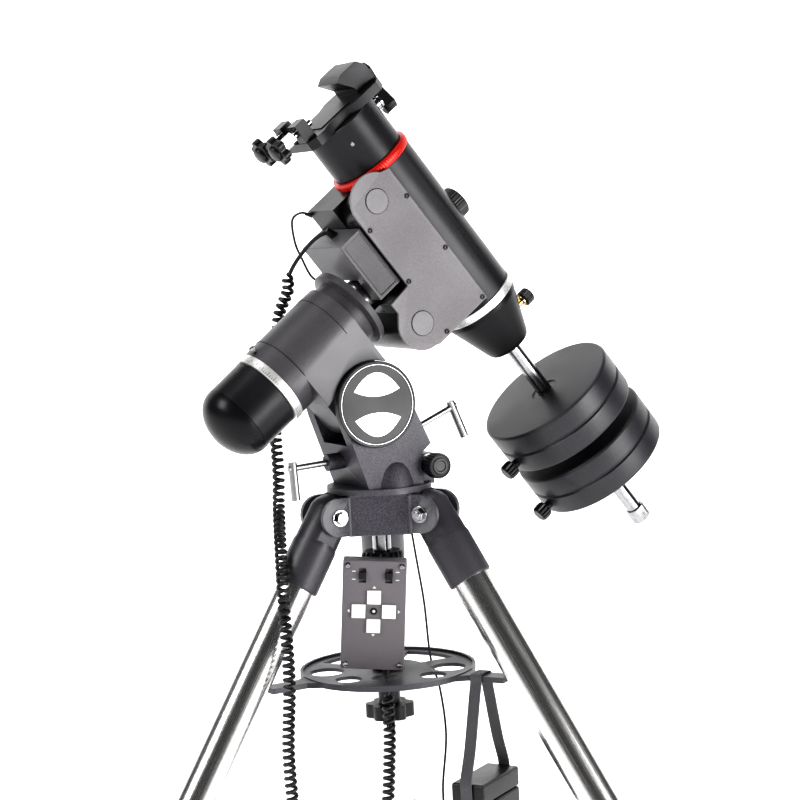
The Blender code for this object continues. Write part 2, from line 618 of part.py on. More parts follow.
def dec_cover():
    """The grey side plate, with the round caps of the two worms."""
    low, high = -0.0465, -BOX_SIDE - GAP
    mesh = plate_mesh("dec_cover", cover_outline(), low, high, upright=True)
    cover = place("dec_cover", mesh, GREY_PAINT, POLAR)
    for x, z in (UPPER_LOBE, LOWER_LOBE):
        join(cover, rod_mesh("worm_cap", (x, high - 0.001, z), (x, low - 0.0012, z), 0.0120, MIDDLE_SIDES))


def ra_motor_box():
    """The motor's housing behind the side plate, notched over the polar shaft."""
    back, front = -0.097, BOX_BACK - GAP
    mesh = box_mesh("ra_motor_box", (back, -0.040, 0.0215), (front, 0.0440, 0.064))
    box = place("ra_motor_box", mesh, GREY_PAINT, POLAR)
    join(box, box_mesh("near_leaf", (back, -0.040, -0.004), (front, -0.0225, 0.030)))
    cut(box, box_mesh("lid_recess", (back + 0.0035, -0.05, -0.0005),
                      (front - 0.003, -0.0388, 0.0600)))


def dec_setting_circle():
    turned("dec_setting_circle",
           [(0.0303, -0.0853), (0.0435, -0.0853), (0.0435, -0.0940), (0.0303, -0.0940)],
           SILVER, POLAR, steps=LARGE_SIDES, closed=True)


COLLAR_TIP = -0.1515


def dec_collar():
    """The cone below the setting circle, bored for the counterweight shaft."""
    profile = [(0.0, -0.0856), (0.0300, -0.0856), (0.0300, -0.0943), (0.0415, -0.0943),
               (0.0410, -0.1000), (0.0240, -0.1480), (0.0225, COLLAR_TIP),
               (SHAFT_RADIUS + GAP, COLLAR_TIP), (SHAFT_RADIUS + GAP, -0.1200), (0.0, -0.1200)]
    turned("dec_collar", profile, BLACK_PAINT, POLAR, steps=LARGE_SIDES)


CLAMP_KNOB_AT = (0.0335, -0.1285)         # out from the declination axis, and along it


def dec_clamp_knob():
    """A knurled knob on a brass stem, beside the cone."""
    base, height = CLAMP_KNOB_AT
    grip, stem = 0.0085, 0.0035
    turned("dec_clamp_knob",
           [(0.0, base + 0.019), (grip - 0.0015, base + 0.019), (grip, base + 0.017),
            (grip, base + 0.009), (stem, base + 0.008), (stem, base), (0.0, base)],
           BLACK_PLASTIC, POLAR, (0, 0, height), (0, pi / 2, 0), steps=SMALL_SIDES)


HEAD_BOTTOM, HEAD_TOP = 0.0975, 0.1475
HEAD_RADIUS = 0.0390


def dec_head():
    """The turning head with its stub shaft in the housing's bore."""
    stub = BORE - GAP
    profile = [(0.0, HEAD_TOP), (HEAD_RADIUS, HEAD_TOP), (HEAD_RADIUS, HEAD_BOTTOM),
               (stub, HEAD_BOTTOM), (stub, 0.0225), (0.0, 0.0225)]
    turned("dec_head", profile, BLACK_PAINT, POLAR, steps=LARGE_SIDES)


def red_ring():
    turned("red_ring", [(BORE, HEAD_BOTTOM - GAP), (0.0425, HEAD_BOTTOM - GAP),
                        (0.0430, DEC_TOP + 0.0045), (0.0425, DEC_TOP + GAP),
                        (BORE, DEC_TOP + GAP)],
           RED, POLAR, steps=LARGE_SIDES, closed=True)


SADDLE_BOTTOM, SADDLE_TOP, SEAT_TOP = HEAD_TOP + GAP, 0.1575, 0.1585
LUG_TOP, JAW_TOP = 0.1775, 0.1830
SCREW_HEIGHT = 0.1690


def saddle_plate():
    """The plate that takes the telescope's dovetail bar, which lies along Y between a fixed
    jaw and two lugs for the clamp screws."""
    half = [(0.049, 0.026), (0.040, 0.036), (0.012, 0.036), (0.000, 0.029), (-0.022, 0.029),
            (-0.032, 0.034), (-0.044, 0.034), (-0.052, 0.026)]
    outline = half + [(x, -y) for x, y in reversed(half)]
    plate = place("saddle_plate", plate_mesh("saddle_plate", outline, SADDLE_BOTTOM, SADDLE_TOP),
                  BLACK_PAINT, POLAR)
    join(plate, box_mesh("seat", (-0.030, -0.024, SADDLE_TOP - 0.001), (0.010, 0.024, SEAT_TOP)))
    overlap = SADDLE_TOP - 0.001
    jaw = [(0.049, overlap), (0.049, 0.174), (0.042, JAW_TOP), (0.021, JAW_TOP), (0.013, 0.1790),
           (0.024, 0.1640), (0.024, overlap)]
    join(plate, plate_mesh("jaw", jaw, -0.0225, 0.0225, upright=True))
    for y in SADDLE_KNOB_SIDES:
        join(plate, box_mesh("lug", (-0.0515, y - 0.0085, overlap), (-0.0385, y + 0.0085, LUG_TOP)))
    for y in SADDLE_KNOB_SIDES:
        cut(plate, rod_mesh("screw_hole", (-0.06, y, SCREW_HEIGHT), (-0.028, y, SCREW_HEIGHT),
                            SCREW_RADIUS + GAP, SMALL_SIDES))


SCREW_RADIUS = 0.0038
SADDLE_KNOB_SIDES = (-0.017, 0.017)


def saddle_knob(name, side):
    """A lobed clamp knob on a chrome collar, with its screw through the saddle's wall."""
    mesh = plate_mesh(name, lobed_outline(0.0150, 0.0035, 6), 0.026, 0.034)
    mesh.transform(Matrix.Rotation(pi, 4, "Z"))
    knob = place(name, mesh, BLACK_PLASTIC, POLAR, (-0.046, side, SCREW_HEIGHT), (0, -pi / 2, 0))
    join(knob, rod_mesh("screw", (0, 0, -0.014), (0, 0, 0.020), SCREW_RADIUS, SMALL_SIDES))
    join(knob, rod_mesh("collar", (0, 0, 0.0095), (0, 0, 0.0275), 0.0062, MIDDLE_SIDES))
    join(knob, rod_mesh("button", (0, 0, 0.033), (0, 0, 0.038), 0.0085, MIDDLE_SIDES))


def head_clamp_knob():
    """The tee-shaped clamp on the side of the head."""
    start, y, height = 0.0395, 0.012, 0.128
    mesh = rod_mesh("head_clamp_knob", (0, 0, 0), (0, 0, 0.014), 0.0085, MIDDLE_SIDES)
    knob = place("head_clamp_knob", mesh, BLACK_PLASTIC, POLAR, (start, y, height), (0, pi / 2, 0))
    join(knob, box_mesh("bar", (-0.040, -0.0085, 0.0125), (0.016, 0.0085, 0.0245)))


# ---- Counterweights ----------------------------------------------------------------
SHAFT_END = -0.400


def cw_shaft():
    profile = [(0.0, -0.1203), (SHAFT_RADIUS, -0.1203), (SHAFT_RADIUS, SHAFT_END),
               (0.0, SHAFT_END)]
    turned("cw_shaft", profile, CHROME, POLAR, steps=MIDDLE_SIDES)


def cw_end_cap():
    low, rim = -0.4065, -0.3900
    profile = [(SHAFT_RADIUS + GAP, rim), (0.0095, rim), (0.0102, rim - 0.001),
               (0.0102, low + 0.001), (0.0095, low), (0.0, low), (0.0, SHAFT_END - GAP),
               (SHAFT_RADIUS + GAP, SHAFT_END - GAP)]
    turned("cw_end_cap", profile[-2:] + profile[:-2], CHROME, POLAR, steps=MIDDLE_SIDES)


def counterweight(name, top):
    chamfer, groove = 0.003, 0.0022
    middle, low = top - WEIGHT_THICKNESS / 2, top - WEIGHT_THICKNESS
    bore = SHAFT_RADIUS + GAP
    profile = [(bore, top), (WEIGHT_RADIUS - chamfer, top), (WEIGHT_RADIUS, top - chamfer),
               (WEIGHT_RADIUS, middle + groove), (WEIGHT_RADIUS - groove, middle),
               (WEIGHT_RADIUS, middle - groove), (WEIGHT_RADIUS, low + chamfer),
               (WEIGHT_RADIUS - chamfer, low), (bore, low)]
    turned(name, profile, BLACK_PAINT, POLAR, steps=LARGE_SIDES, closed=True)


def cw_knob(name, top):
    """The thumb screw in a counterweight's rim."""
    start = WEIGHT_RADIUS + GAP
    turned(name, [(0.0, start + 0.017), (0.007, start + 0.017), (0.009, start + 0.015),
                  (0.009, start + 0.005), (0.0045, start + 0.004), (0.0045, start), (0.0, start)],
           BLACK_PLASTIC, POLAR, (0, 0, top - WEIGHT_THICKNESS * 0.72), (0, -pi / 2, 0), steps=SMALL_SIDES)


# ---- Hand controller ---------------------------------------------------------------
HANDSET_WIDTH, HANDSET_HEIGHT, HANDSET_DEPTH = 0.063, 0.109, 0.024
HANDSET_AT = (-0.011, -0.036, PIVOT_HEIGHT - 0.2084)
HANDSET_TILT = radians(4.4)
KEY_SIZE, KEY_PROUD = 0.0138, 0.0022
KEYS = {"up": (0.0, 0.0180), "left": (-0.0150, 0.0040), "right": (0.0150, 0.0040),
        "down": (0.0, -0.0105)}
SWITCHES = {"speed": (-0.0120, 0.0395), "hemisphere": (0.0140, 0.0395)}
SWITCH_SIZE, SWITCH_TRAVEL = (0.0068, 0.0068), 0.0035     # travel to each side of the middle
FACE = -HANDSET_DEPTH / 2


def handset():
    """The controller's case, with wells for its keys and switches and a clip on its back."""
    frame = empty("handset_frame", HANDSET_AT, (0, HANDSET_TILT, 0), ROOT)
    x, z = HANDSET_WIDTH / 2, HANDSET_HEIGHT / 2
    case = place("handset_body", box_mesh("handset_body", (-x, FACE, -z), (x, -FACE, z)),
                 BLACK_PLASTIC, frame)
    round_edges(case, 0.0015)
    clip = -HANDSET_AT[1] - THIN_ROD - 0.0005
    join(case, box_mesh("clip", (0.0060, -FACE - 0.001, -0.012), (0.0150, clip, 0.012)))
    well = KEY_SIZE / 2 + GAP
    for key_x, key_z in KEYS.values():
        cut(case, box_mesh("well", (key_x - well, FACE - 0.01, key_z - well),
                           (key_x + well, FACE + 0.004, key_z + well)))
    for switch_x, switch_z in SWITCHES.values():
        wide, tall = SWITCH_SIZE[0] / 2 + GAP, SWITCH_SIZE[1] / 2 + SWITCH_TRAVEL + GAP
        cut(case, box_mesh("slot", (switch_x - wide, FACE - 0.01, switch_z - tall),
                           (switch_x + wide, FACE + 0.003, switch_z + tall)))
    half = KEY_SIZE / 2
    for name, (key_x, key_z) in KEYS.items():
        place("key_" + name, box_mesh("key", (-half, -KEY_PROUD, -half), (half, 0.0020, half)),
              WHITE_PLASTIC, frame, (key_x, FACE, key_z))
    for name, (switch_x, switch_z) in SWITCHES.items():
        wide, tall = SWITCH_SIZE[0] / 2, SWITCH_SIZE[1] / 2
        place("switch_" + name, box_mesh("switch", (-wide, -0.0030, -tall), (wide, 0.0027, tall)),
              BLACK_PLASTIC, frame, (switch_x, FACE, switch_z))


# ---- Battery case, strap and cords ---------------------------------------------------
CASE_TOP = PIVOT_HEIGHT - 0.372
CASE_RADIAL = 0.106           # out along the tray's right arm
CASE_WIDTH, CASE_DEPTH, CASE_HEIGHT = 0.078, 0.036, 0.072


def under_arm(name, mesh, finish):
    """Places a piece across the tray's right arm: its X runs across the arm."""
    angle = LEG_ANGLES["right"]
    location = (*around(angle, CASE_RADIAL, 0), 0)
    return place(name, mesh, finish, ROOT, location, (0, 0, angle + pi / 2))


def battery_case():
    wide, deep = CASE_WIDTH / 2, CASE_DEPTH / 2
    mesh = box_mesh("battery_case", (-wide, -deep, CASE_TOP - CASE_HEIGHT), (wide, deep, CASE_TOP))
    case = under_arm("battery_case", mesh, BLACK_PLASTIC)
    round_edges(case, 0.003)


def strap():
    """The webbing over the tray's right arm that carries the battery case by its sides."""
    thick, half_wide = 0.0016, 0.006
    arm, side = 0.0102, CASE_WIDTH / 2 + 0.0010
    top, shoulder, low = TRAY_HEIGHT + 0.0033, CASE_TOP + 0.003, CASE_TOP - 0.030
    edge = top - 0.008
    half_inner = [(side, low), (side, shoulder), (arm, edge), (arm, top - 0.0005),
                  (arm - 0.0006, top)]
    half_outer = [(side + thick, low), (side + thick, shoulder), (arm + thick, edge),
                  (arm + thick, top), (arm, top + thick)]
    inner = half_inner + [(-x, z) for x, z in reversed(half_inner)]
    outer = [(-x, z) for x, z in half_outer] + [(x, z) for x, z in reversed(half_outer)]
    under_arm("strap", plate_mesh("strap", outer + inner, -half_wide, half_wide, upright=True), WEBBING)


def cords():
    up = PIVOT_HEIGHT
    upper = [(-0.1200, 0.035, 0.0600), (-0.1300, 0.040, 0.0540), (-0.1360, 0.044, 0.0440),
             (-0.1460, 0.048, 0.0370), (-0.1570, 0.051, 0.0300), (-0.1660, 0.054, 0.0200),
             (-0.1720, 0.056, 0.0060)]
    cord("cord_upper", upper, CURL_RADIUS, RUBBER, POLAR)
    lower = [(-0.100, 0.030, up + 0.030), (-0.102, 0.018, up - 0.020), (-0.100, -0.002, up - 0.068),
             (-0.1005, -0.017, up - 0.100), (-0.0985, -0.056, up - 0.137),
             (-0.096, -0.090, up - 0.190), (-0.0945, -0.094, up - 0.260),
             (-0.099, -0.092, up - 0.340), (-0.092, -0.088, up - 0.420), (-0.066, -0.078, up - 0.470),
             (-0.034, -0.060, up - 0.465), (-0.010, -0.046, up - 0.420), (-0.002, -0.040, up - 0.350),
             (-0.001, -0.040, up - 0.310), (-0.001, -0.040, up - 0.2652)]
    cord("cord_lower", lower, CURL_RADIUS, RUBBER, ROOT)
    lead = [(-0.0690, 0.038, 0.0830), (-0.0745, 0.044, 0.0915), (-0.0840, 0.052, 0.0900),
            (-0.0945, 0.057, 0.0700), (-0.0990, 0.058, 0.0530), (-0.1030, 0.058, 0.0330),
            (-0.1000, 0.054, 0.0230), (-0.0920, 0.050, 0.0250), (-0.0870, 0.0465, 0.0310)]
    cord("dec_lead", lead, LEAD_RADIUS, RUBBER, POLAR, spacing=0.008)
    power = [(0.030, 0.004, up - 0.1310), (0.034, 0.020, up - 0.165), (0.040, 0.038, up - 0.215),
             (0.044, 0.044, up - 0.274), (0.052, 0.040, up - 0.305), (0.056, 0.022, up - 0.350),
             (0.050, 0.002, up - 0.400), (0.052, -0.018, up - 0.425), (0.062, -0.034, up - 0.418),
             (0.0750, -0.0433, up - 0.405)]
    cord("power_lead", power, LEAD_RADIUS, RUBBER, ROOT, spacing=0.012)


def build():
    tripod_hub()
    legs()
    accessory_tray()
    tray_knob()
    centre_rod()
    azimuth_base()
    azimuth_knob("azimuth_knob_near", -1)
    azimuth_knob("azimuth_knob_far", 1)
    altitude_bolt("altitude_bolt_front", FRONT_BOLT, 0.068, 0.014, 0.040)
    altitude_bolt("altitude_bolt_rear", REAR_BOLT, 0.054, 0.013, 0.038)
    altitude_disc()
    ra_housing()
    ra_setting_circle()
    polar_scope_cap()
    ra_shaft()
    dec_housing()
    dec_cover()
    ra_motor_box()
    dec_setting_circle()
    dec_collar()
    dec_clamp_knob()
    dec_head()
    red_ring()
    saddle_plate()
    saddle_knob("saddle_knob_near", SADDLE_KNOB_SIDES[0])
    saddle_knob("saddle_knob_far", SADDLE_KNOB_SIDES[1])
    head_clamp_knob()
    cw_shaft()
    cw_end_cap()
    for number, top in enumerate(WEIGHT_TOPS, 1):
        counterweight(f"counterweight_{number}", top)
        cw_knob(f"cw_knob_{number}", top)
    handset()
    battery_case()
    strap()
    cords()


build()
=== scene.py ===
from math import cos, pi, radians, sin

import bmesh
import bpy
from mathutils import Matrix, Vector


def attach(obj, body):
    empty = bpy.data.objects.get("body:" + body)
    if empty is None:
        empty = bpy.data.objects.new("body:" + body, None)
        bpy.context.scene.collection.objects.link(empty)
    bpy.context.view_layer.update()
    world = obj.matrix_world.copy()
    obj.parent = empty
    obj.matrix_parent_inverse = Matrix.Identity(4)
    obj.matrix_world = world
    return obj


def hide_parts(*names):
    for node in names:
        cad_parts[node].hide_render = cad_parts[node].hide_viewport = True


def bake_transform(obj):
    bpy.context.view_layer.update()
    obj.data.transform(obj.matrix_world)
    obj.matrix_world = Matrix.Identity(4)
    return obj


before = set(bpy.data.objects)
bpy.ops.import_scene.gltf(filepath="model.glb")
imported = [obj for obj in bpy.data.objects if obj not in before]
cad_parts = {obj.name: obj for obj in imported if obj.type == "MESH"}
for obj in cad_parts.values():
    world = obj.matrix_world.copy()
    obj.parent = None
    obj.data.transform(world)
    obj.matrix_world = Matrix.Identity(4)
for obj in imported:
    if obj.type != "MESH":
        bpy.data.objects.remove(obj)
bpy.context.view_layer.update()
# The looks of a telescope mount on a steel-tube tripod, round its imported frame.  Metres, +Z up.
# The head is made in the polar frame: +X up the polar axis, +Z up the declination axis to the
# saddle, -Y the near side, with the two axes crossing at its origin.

# ---- Dimensions that part.py sets ----
LEG_ANGLES = {"left": radians(210), "right": radians(330), "rear": radians(90)}
LEG_SPLAY = radians(31.5)
HINGE_RADIUS, FOOT_DISTANCE, FOOT_RADIUS, FOOT_FLAT = 0.059, 0.772, 0.018, 0.002
TUBE_RADIUS, LOWER_TUBE_RADIUS, TUBE_WALL = 0.019, 0.016, 0.0016
COLLAR_TOP, COLLAR_END, FOOT_TOP = -0.468, -0.506, -FOOT_DISTANCE + 0.040      # along the leg
MOUNT_YAW, LATITUDE = radians(28), radians(38.3)
PIVOT_BACK, POLAR_TO_PIVOT, DEC_TO_PIVOT = 0.021, 0.075, 0.1695
HOUSING_RADIUS, SHAFT_RADIUS = 0.0395, 0.008
WEIGHT_RADIUS, WEIGHT_THICKNESS = 0.075, 0.0476
WEIGHT_TOPS = (-0.217, -0.2776)
ROD_RADIUS, THIN_ROD = 0.0093, 0.0052
COIL_RADIUS, LEAD_RADIUS = 0.0065, 0.0012
HINGE_HEIGHT = FOOT_DISTANCE * cos(LEG_SPLAY) + FOOT_RADIUS - FOOT_FLAT
PIVOT_HEIGHT = HINGE_HEIGHT + 0.110
TRAY_HEIGHT = PIVOT_HEIGHT - 0.274
CENTRE_SHIFT = Vector((0, -(HINGE_RADIUS + FOOT_DISTANCE * sin(LEG_SPLAY)) / 4, 0))
HUB_TOP, HUB_BOTTOM, EAR_OUTER = 0.020, -0.0200, 0.0243
LOCK_KNOB_TOP = PIVOT_HEIGHT - 0.152
CASE_TOP, CASE_RADIAL = PIVOT_HEIGHT - 0.372, 0.106
CASE_WIDTH, CASE_DEPTH, CASE_HEIGHT = 0.078, 0.036, 0.072
HANDSET_FACE, HANDSET_TILT, KEYS_MIDDLE = -0.012, radians(4.4), 0.0040
HEAD_MIDDLE = 0.128                       # height of the head's screws and its clamp
COVER_FACE = -0.0465
WORM_CAPS = ((-0.0395, 0.0735), (-0.080, -0.049))
COVER_SCREWS = ((-0.011, 0.056), (-0.0115, -0.010), (-0.064, 0.057), (-0.0645, -0.008),
                (-0.012, -0.0750), (-0.065, -0.0735))
AZIMUTH_KNOB_AT = (0.041, -0.066)
SADDLE_SCREW_BACK, SADDLE_SCREW_SIDE, SADDLE_SCREW_HEIGHT = -0.046, 0.017, 0.1690
SHARP_EDGE = radians(32)                  # a wider turn than this is an edge


def turn(angle, axis):
    return Matrix.Rotation(angle, 4, axis)


def move(x, y, z):
    return Matrix.Translation((x, y, z))


ROOT = Matrix.Translation(CENTRE_SHIFT)
AZIMUTH = ROOT @ move(0, 0, PIVOT_HEIGHT) @ turn(MOUNT_YAW, "Z")
PIVOT = AZIMUTH @ move(-PIVOT_BACK, 0, 0)
POLAR = PIVOT @ turn(-LATITUDE, "Y") @ move(DEC_TO_PIVOT, 0, POLAR_TO_PIVOT)
UP_POLAR = POLAR @ turn(pi / 2, "Y")      # turns a lathe's Z onto the polar axis
HANDSET = ROOT @ move(-0.011, -0.036, PIVOT_HEIGHT - 0.2084) @ turn(HANDSET_TILT, "Y")
UNDER_ARM = ROOT @ turn(LEG_ANGLES["right"], "Z") @ move(CASE_RADIAL, 0, 0) @ turn(pi / 2, "Z")


def hinge_frame(side):
    """At a leg's hinge, +X outward and +Y along the bolt."""
    angle = LEG_ANGLES[side]
    return (ROOT @ move(HINGE_RADIUS * cos(angle), HINGE_RADIUS * sin(angle), HINGE_HEIGHT)
            @ turn(angle, "Z"))


def leg_frame(side):
    """The hinge frame turned so that the leg runs down its -Z."""
    return hinge_frame(side) @ turn(-LEG_SPLAY, "Y")


# ---- Camera ----
def camera():
    """A long lens a little above the mount, rolled a little."""
    pitch, roll = radians(5.3), radians(2.75)
    ahead = Vector((0, cos(pitch), -sin(pitch)))
    level = Vector((1, 0, 0))
    upright = level.cross(ahead)
    right = cos(roll) * level - sin(roll) * upright
    up = sin(roll) * level + cos(roll) * upright
    data = bpy.data.cameras.new("camera")
    data.lens, data.sensor_width = 90, 36
    data.clip_end = 50
    made = bpy.data.objects.new("camera", data)
    bpy.context.scene.collection.objects.link(made)
    place = CENTRE_SHIFT + Vector((0.0252, -1.9914, PIVOT_HEIGHT + 0.1835))
    made.matrix_world = Matrix.Translation(place) @ Matrix((right, up, -ahead)).transposed().to_4x4()
    bpy.context.scene.camera = made


# ---- Materials ----
def node(tree, kind, **values):
    """A shader node; values name its inputs, with _ for a space, or its own properties."""
    made = tree.nodes.new("ShaderNode" + kind)
    for name, value in values.items():
        socket = made.inputs.get(name.replace("_", " "))
        if socket is not None:
            socket.default_value = value
        else:
            setattr(made, name, value)
    return made


def noise_range(tree, coords, scale, low, high, detail=3.0):
    """Noise spread over low to high, as a socket."""
    noise = node(tree, "TexNoise", Scale=scale, Detail=detail)
    spread = node(tree, "MapRange", From_Min=0.3, From_Max=0.7, To_Min=low, To_Max=high)
    tree.links.new(coords, noise.inputs["Vector"])
    tree.links.new(noise.outputs["Fac"], spread.inputs["Value"])
    return spread.outputs["Result"]


def surface(name, dark, light, roughness, grain=900.0, bump=0.15, depth=0.0002, metallic=0.0,
            patch=14.0, spread=0.06, stretch=None, worn=None, sheen=0.0, weave=None, specular=0.5):
    """A procedural finish: mottled colour, uneven gloss, a grain of its own, and worn edges."""
    made = bpy.data.materials.new(name)
    made.use_nodes = True
    tree = made.node_tree
    shader = tree.nodes["Principled BSDF"]
    shader.inputs["Metallic"].default_value = metallic
    shader.inputs["Sheen Weight"].default_value = sheen
    shader.inputs["Specular IOR Level"].default_value = specular
    place = node(tree, "TexCoord").outputs["UV" if stretch else "Object"]
    if stretch:
        mapping = node(tree, "Mapping", Scale=stretch)
        tree.links.new(place, mapping.inputs["Vector"])
        place = mapping.outputs["Vector"]
    mottle = node(tree, "Mix", data_type="RGBA")
    mottle.inputs["A"].default_value = (*dark, 1)
    mottle.inputs["B"].default_value = (*light, 1)
    tree.links.new(noise_range(tree, place, grain, 0.0, 1.0), mottle.inputs["Factor"])
    colour = mottle.outputs["Result"]
    if worn:
        edges = node(tree, "MapRange", From_Min=0.53, From_Max=0.62)
        tree.links.new(node(tree, "NewGeometry").outputs["Pointiness"], edges.inputs["Value"])
        bare = node(tree, "Mix", data_type="RGBA")
        bare.inputs["B"].default_value = (*worn, 1)
        tree.links.new(edges.outputs["Result"], bare.inputs["Factor"])
        tree.links.new(colour, bare.inputs["A"])
        colour = bare.outputs["Result"]
    tree.links.new(colour, shader.inputs["Base Color"])
    gloss = noise_range(tree, place, patch, roughness - spread, roughness + spread, 5.0)
    tree.links.new(gloss, shader.inputs["Roughness"])
    if weave:
        wave = node(tree, "TexWave", Scale=weave, Distortion=1.0, wave_type="BANDS",
                    bands_direction="DIAGONAL")
        tree.links.new(place, wave.inputs["Vector"])
        height = wave.outputs["Fac"]
    else:
        finer = grain * 1.3
        height = noise_range(tree, place, finer, 0.0, 1.0)
    raised = node(tree, "Bump", Strength=bump, Distance=depth)
    tree.links.new(height, raised.inputs["Height"])
    tree.links.new(raised.outputs["Normal"], shader.inputs["Normal"])
    return made


BLACK_PAINT = surface("black_paint", (0.006, 0.0055, 0.007), (0.013, 0.012, 0.014), 0.30, 1500,
                      bump=0.12, worn=(0.05, 0.048, 0.053), specular=0.26)
# Black paint made mid-grey: its lighter colour is a painted highlight standing in for the broad
# highlights on the polar housing and its motor box; the mottle, grain and worn edges are the paint's own.
BLACK_PAINT_WITH_PAINTED_HIGHLIGHT = surface("black_paint_with_painted_highlight", (0.046, 0.043, 0.048), (0.084, 0.078, 0.085), 0.36, 1100,
                     bump=0.3, worn=(0.18, 0.175, 0.185), specular=0.4)
SATIN_PAINT = surface("satin_paint", (0.034, 0.031, 0.038), (0.062, 0.058, 0.067), 0.40, 1200,
                      bump=0.2, worn=(0.12, 0.118, 0.125))
HUB_PAINT = surface("hub_paint", (0.034, 0.031, 0.040), (0.105, 0.098, 0.118), 0.42, 700,
                    bump=0.5, depth=0.0003, worn=(0.16, 0.16, 0.17))
# Black paint made grey: its lighter colour is painted light, the side plate lit from the front; the
# mottle, grain and worn edges are the paint's own.
BLACK_PAINT_WITH_PAINTED_LIGHT = surface("grey_paint", (0.112, 0.104, 0.111), (0.176, 0.164, 0.173), 0.40, 1100,
                     bump=0.35, worn=(0.34, 0.33, 0.34))
WEIGHT_PAINT = surface("weight_paint", (0.020, 0.019, 0.023), (0.042, 0.039, 0.046), 0.34, 1100,
                       bump=0.3, worn=(0.14, 0.136, 0.145))
HANDSET_PLASTIC = surface("handset_plastic", (0.150, 0.138, 0.148), (0.205, 0.190, 0.203), 0.48,
                          2200, bump=0.2)
PLASTIC = surface("black_plastic", (0.008, 0.0075, 0.009), (0.017, 0.016, 0.018), 0.36, 1800, bump=0.2)
TRAY_PLASTIC = surface("tray_plastic", (0.040, 0.037, 0.045), (0.062, 0.058, 0.068), 0.42, 1400,
                       bump=0.25, worn=(0.12, 0.12, 0.13))
STEEL = surface("brushed_steel", (0.70, 0.69, 0.68), (0.86, 0.85, 0.84), 0.24, 60, bump=0.04,
                metallic=1.0, stretch=(24, 1.5, 1), patch=6)
CHROME = surface("chrome", (0.34, 0.34, 0.35), (0.46, 0.46, 0.47), 0.17, 300, bump=0.02,
                 metallic=1.0, spread=0.04)
FROSTED = surface("frosted_aluminium", (0.30, 0.30, 0.30), (0.42, 0.42, 0.42), 0.36, 2500,
                  bump=0.2, metallic=1.0)
SILVER = surface("silver_ring", (0.78, 0.78, 0.76), (0.90, 0.90, 0.88), 0.34, 900, bump=0.05,
                 metallic=0.6)
BRASS = surface("brass", (0.55, 0.38, 0.14), (0.70, 0.50, 0.20), 0.28, 900, metallic=1.0)
RED = surface("red_anodised", (0.55, 0.016, 0.010), (0.72, 0.030, 0.018), 0.28, 900, bump=0.05,
              metallic=0.25)
WHITE = surface("white_plastic", (0.80, 0.80, 0.77), (0.90, 0.90, 0.87), 0.36, 1500, bump=0.08)
RUBBER = surface("rubber", (0.010, 0.010, 0.011), (0.022, 0.021, 0.023), 0.44, 1500, bump=0.2)
LINES = surface("engraved_lines", (0.010, 0.010, 0.012), (0.018, 0.018, 0.020), 0.55, 1500)
WEBBING = surface("webbing", (0.060, 0.058, 0.064), (0.120, 0.116, 0.126), 0.72, 3000, bump=0.8,
                  depth=0.0004, sheen=0.3, weave=420.0)


# ---- Shapes ----
def mesh_of(work):
    """Turns the working mesh into a finished one with its faces pointing out."""
    bmesh.ops.recalc_face_normals(work, faces=work.faces)
    mesh = bpy.data.meshes.new("shape")
    work.to_mesh(mesh)
    work.free()
    return mesh


def lathe(profile, steps=96, closed=False, flutes=0, depth=0.0):
    """A profile of (radius, height[, flute]) turned about Z, with U round it and V up it.
    A third value of 1 cuts that ring back by depth between its flutes."""
    work = bmesh.new()
    layer = work.loops.layers.uv.new("UVMap")
    rings = []
    for radius, height, *fluted in profile:
        cutback = depth if fluted else 0.0
        if radius < 1e-6:
            rings.append([work.verts.new((0, 0, height))])
            continue
        ring = []
        for step in range(steps):
            a = 2 * pi * step / steps
            r = radius - cutback * (1 - cos(flutes * a)) / 2
            ring.append(work.verts.new((r * cos(a), r * sin(a), height)))
        rings.append(ring)
    heights = [point[1] for point in profile]
    spans = [(i, i + 1) for i in range(len(rings) - 1)]
    if closed:
        spans.append((len(rings) - 1, 0))
    for low, high in spans:
        for step in range(steps):
            after = step + 1
            corners = [(low, step), (low, after), (high, after), (high, step)]
            used, face = [], []
            for ring, at in corners:
                vertex = rings[ring][at % len(rings[ring])]
                if vertex not in face:
                    face.append(vertex)
                    used.append((at / steps, heights[ring]))
            if len(face) > 2:
                made = work.faces.new(face)
                for loop, (u, v) in zip(made.loops, used):
                    loop[layer].uv = (u, v)
    return mesh_of(work)


def box(low, high):
    work = bmesh.new()
    size, middle = Vector(high) - Vector(low), (Vector(high) + Vector(low)) / 2
    bmesh.ops.create_cube(work, size=1, matrix=Matrix.Translation(middle) @ Matrix.Diagonal((*size, 1)))
    return mesh_of(work)


def plate(outline, low, high):
    """An outline in X and Y made solid from low to high along Z."""
    work = bmesh.new()
    bottom = [work.verts.new((x, y, low)) for x, y in outline]
    top = [work.verts.new((x, y, high)) for x, y in outline]
    work.faces.new(bottom)
    work.faces.new(top)
    for i in range(len(outline)):
        after = (i + 1) % len(outline)
        work.faces.new((bottom[i], bottom[after], top[after], top[i]))
    return mesh_of(work)


def arc(radius, start, end, count, centre):
    """Points on an arc, its angles in degrees."""
    angles = [radians(start + (end - start) * i / (count - 1)) for i in range(count)]
    return [(centre[0] + radius * cos(a), centre[1] + radius * sin(a)) for a in angles]


def lobed(radius, depth, lobes):
    """A knob's outline, with hollows of this depth between its lobes."""
    count = 14 * lobes
    out = []
    for i in range(count):
        a = 2 * pi * i / count
        r = radius - depth * ((1 - cos(lobes * a)) / 2) ** 1.5
        out.append((r * cos(a), r * sin(a)))
    return out


def placed(mesh, matrix):
    mesh.transform(matrix)
    return mesh


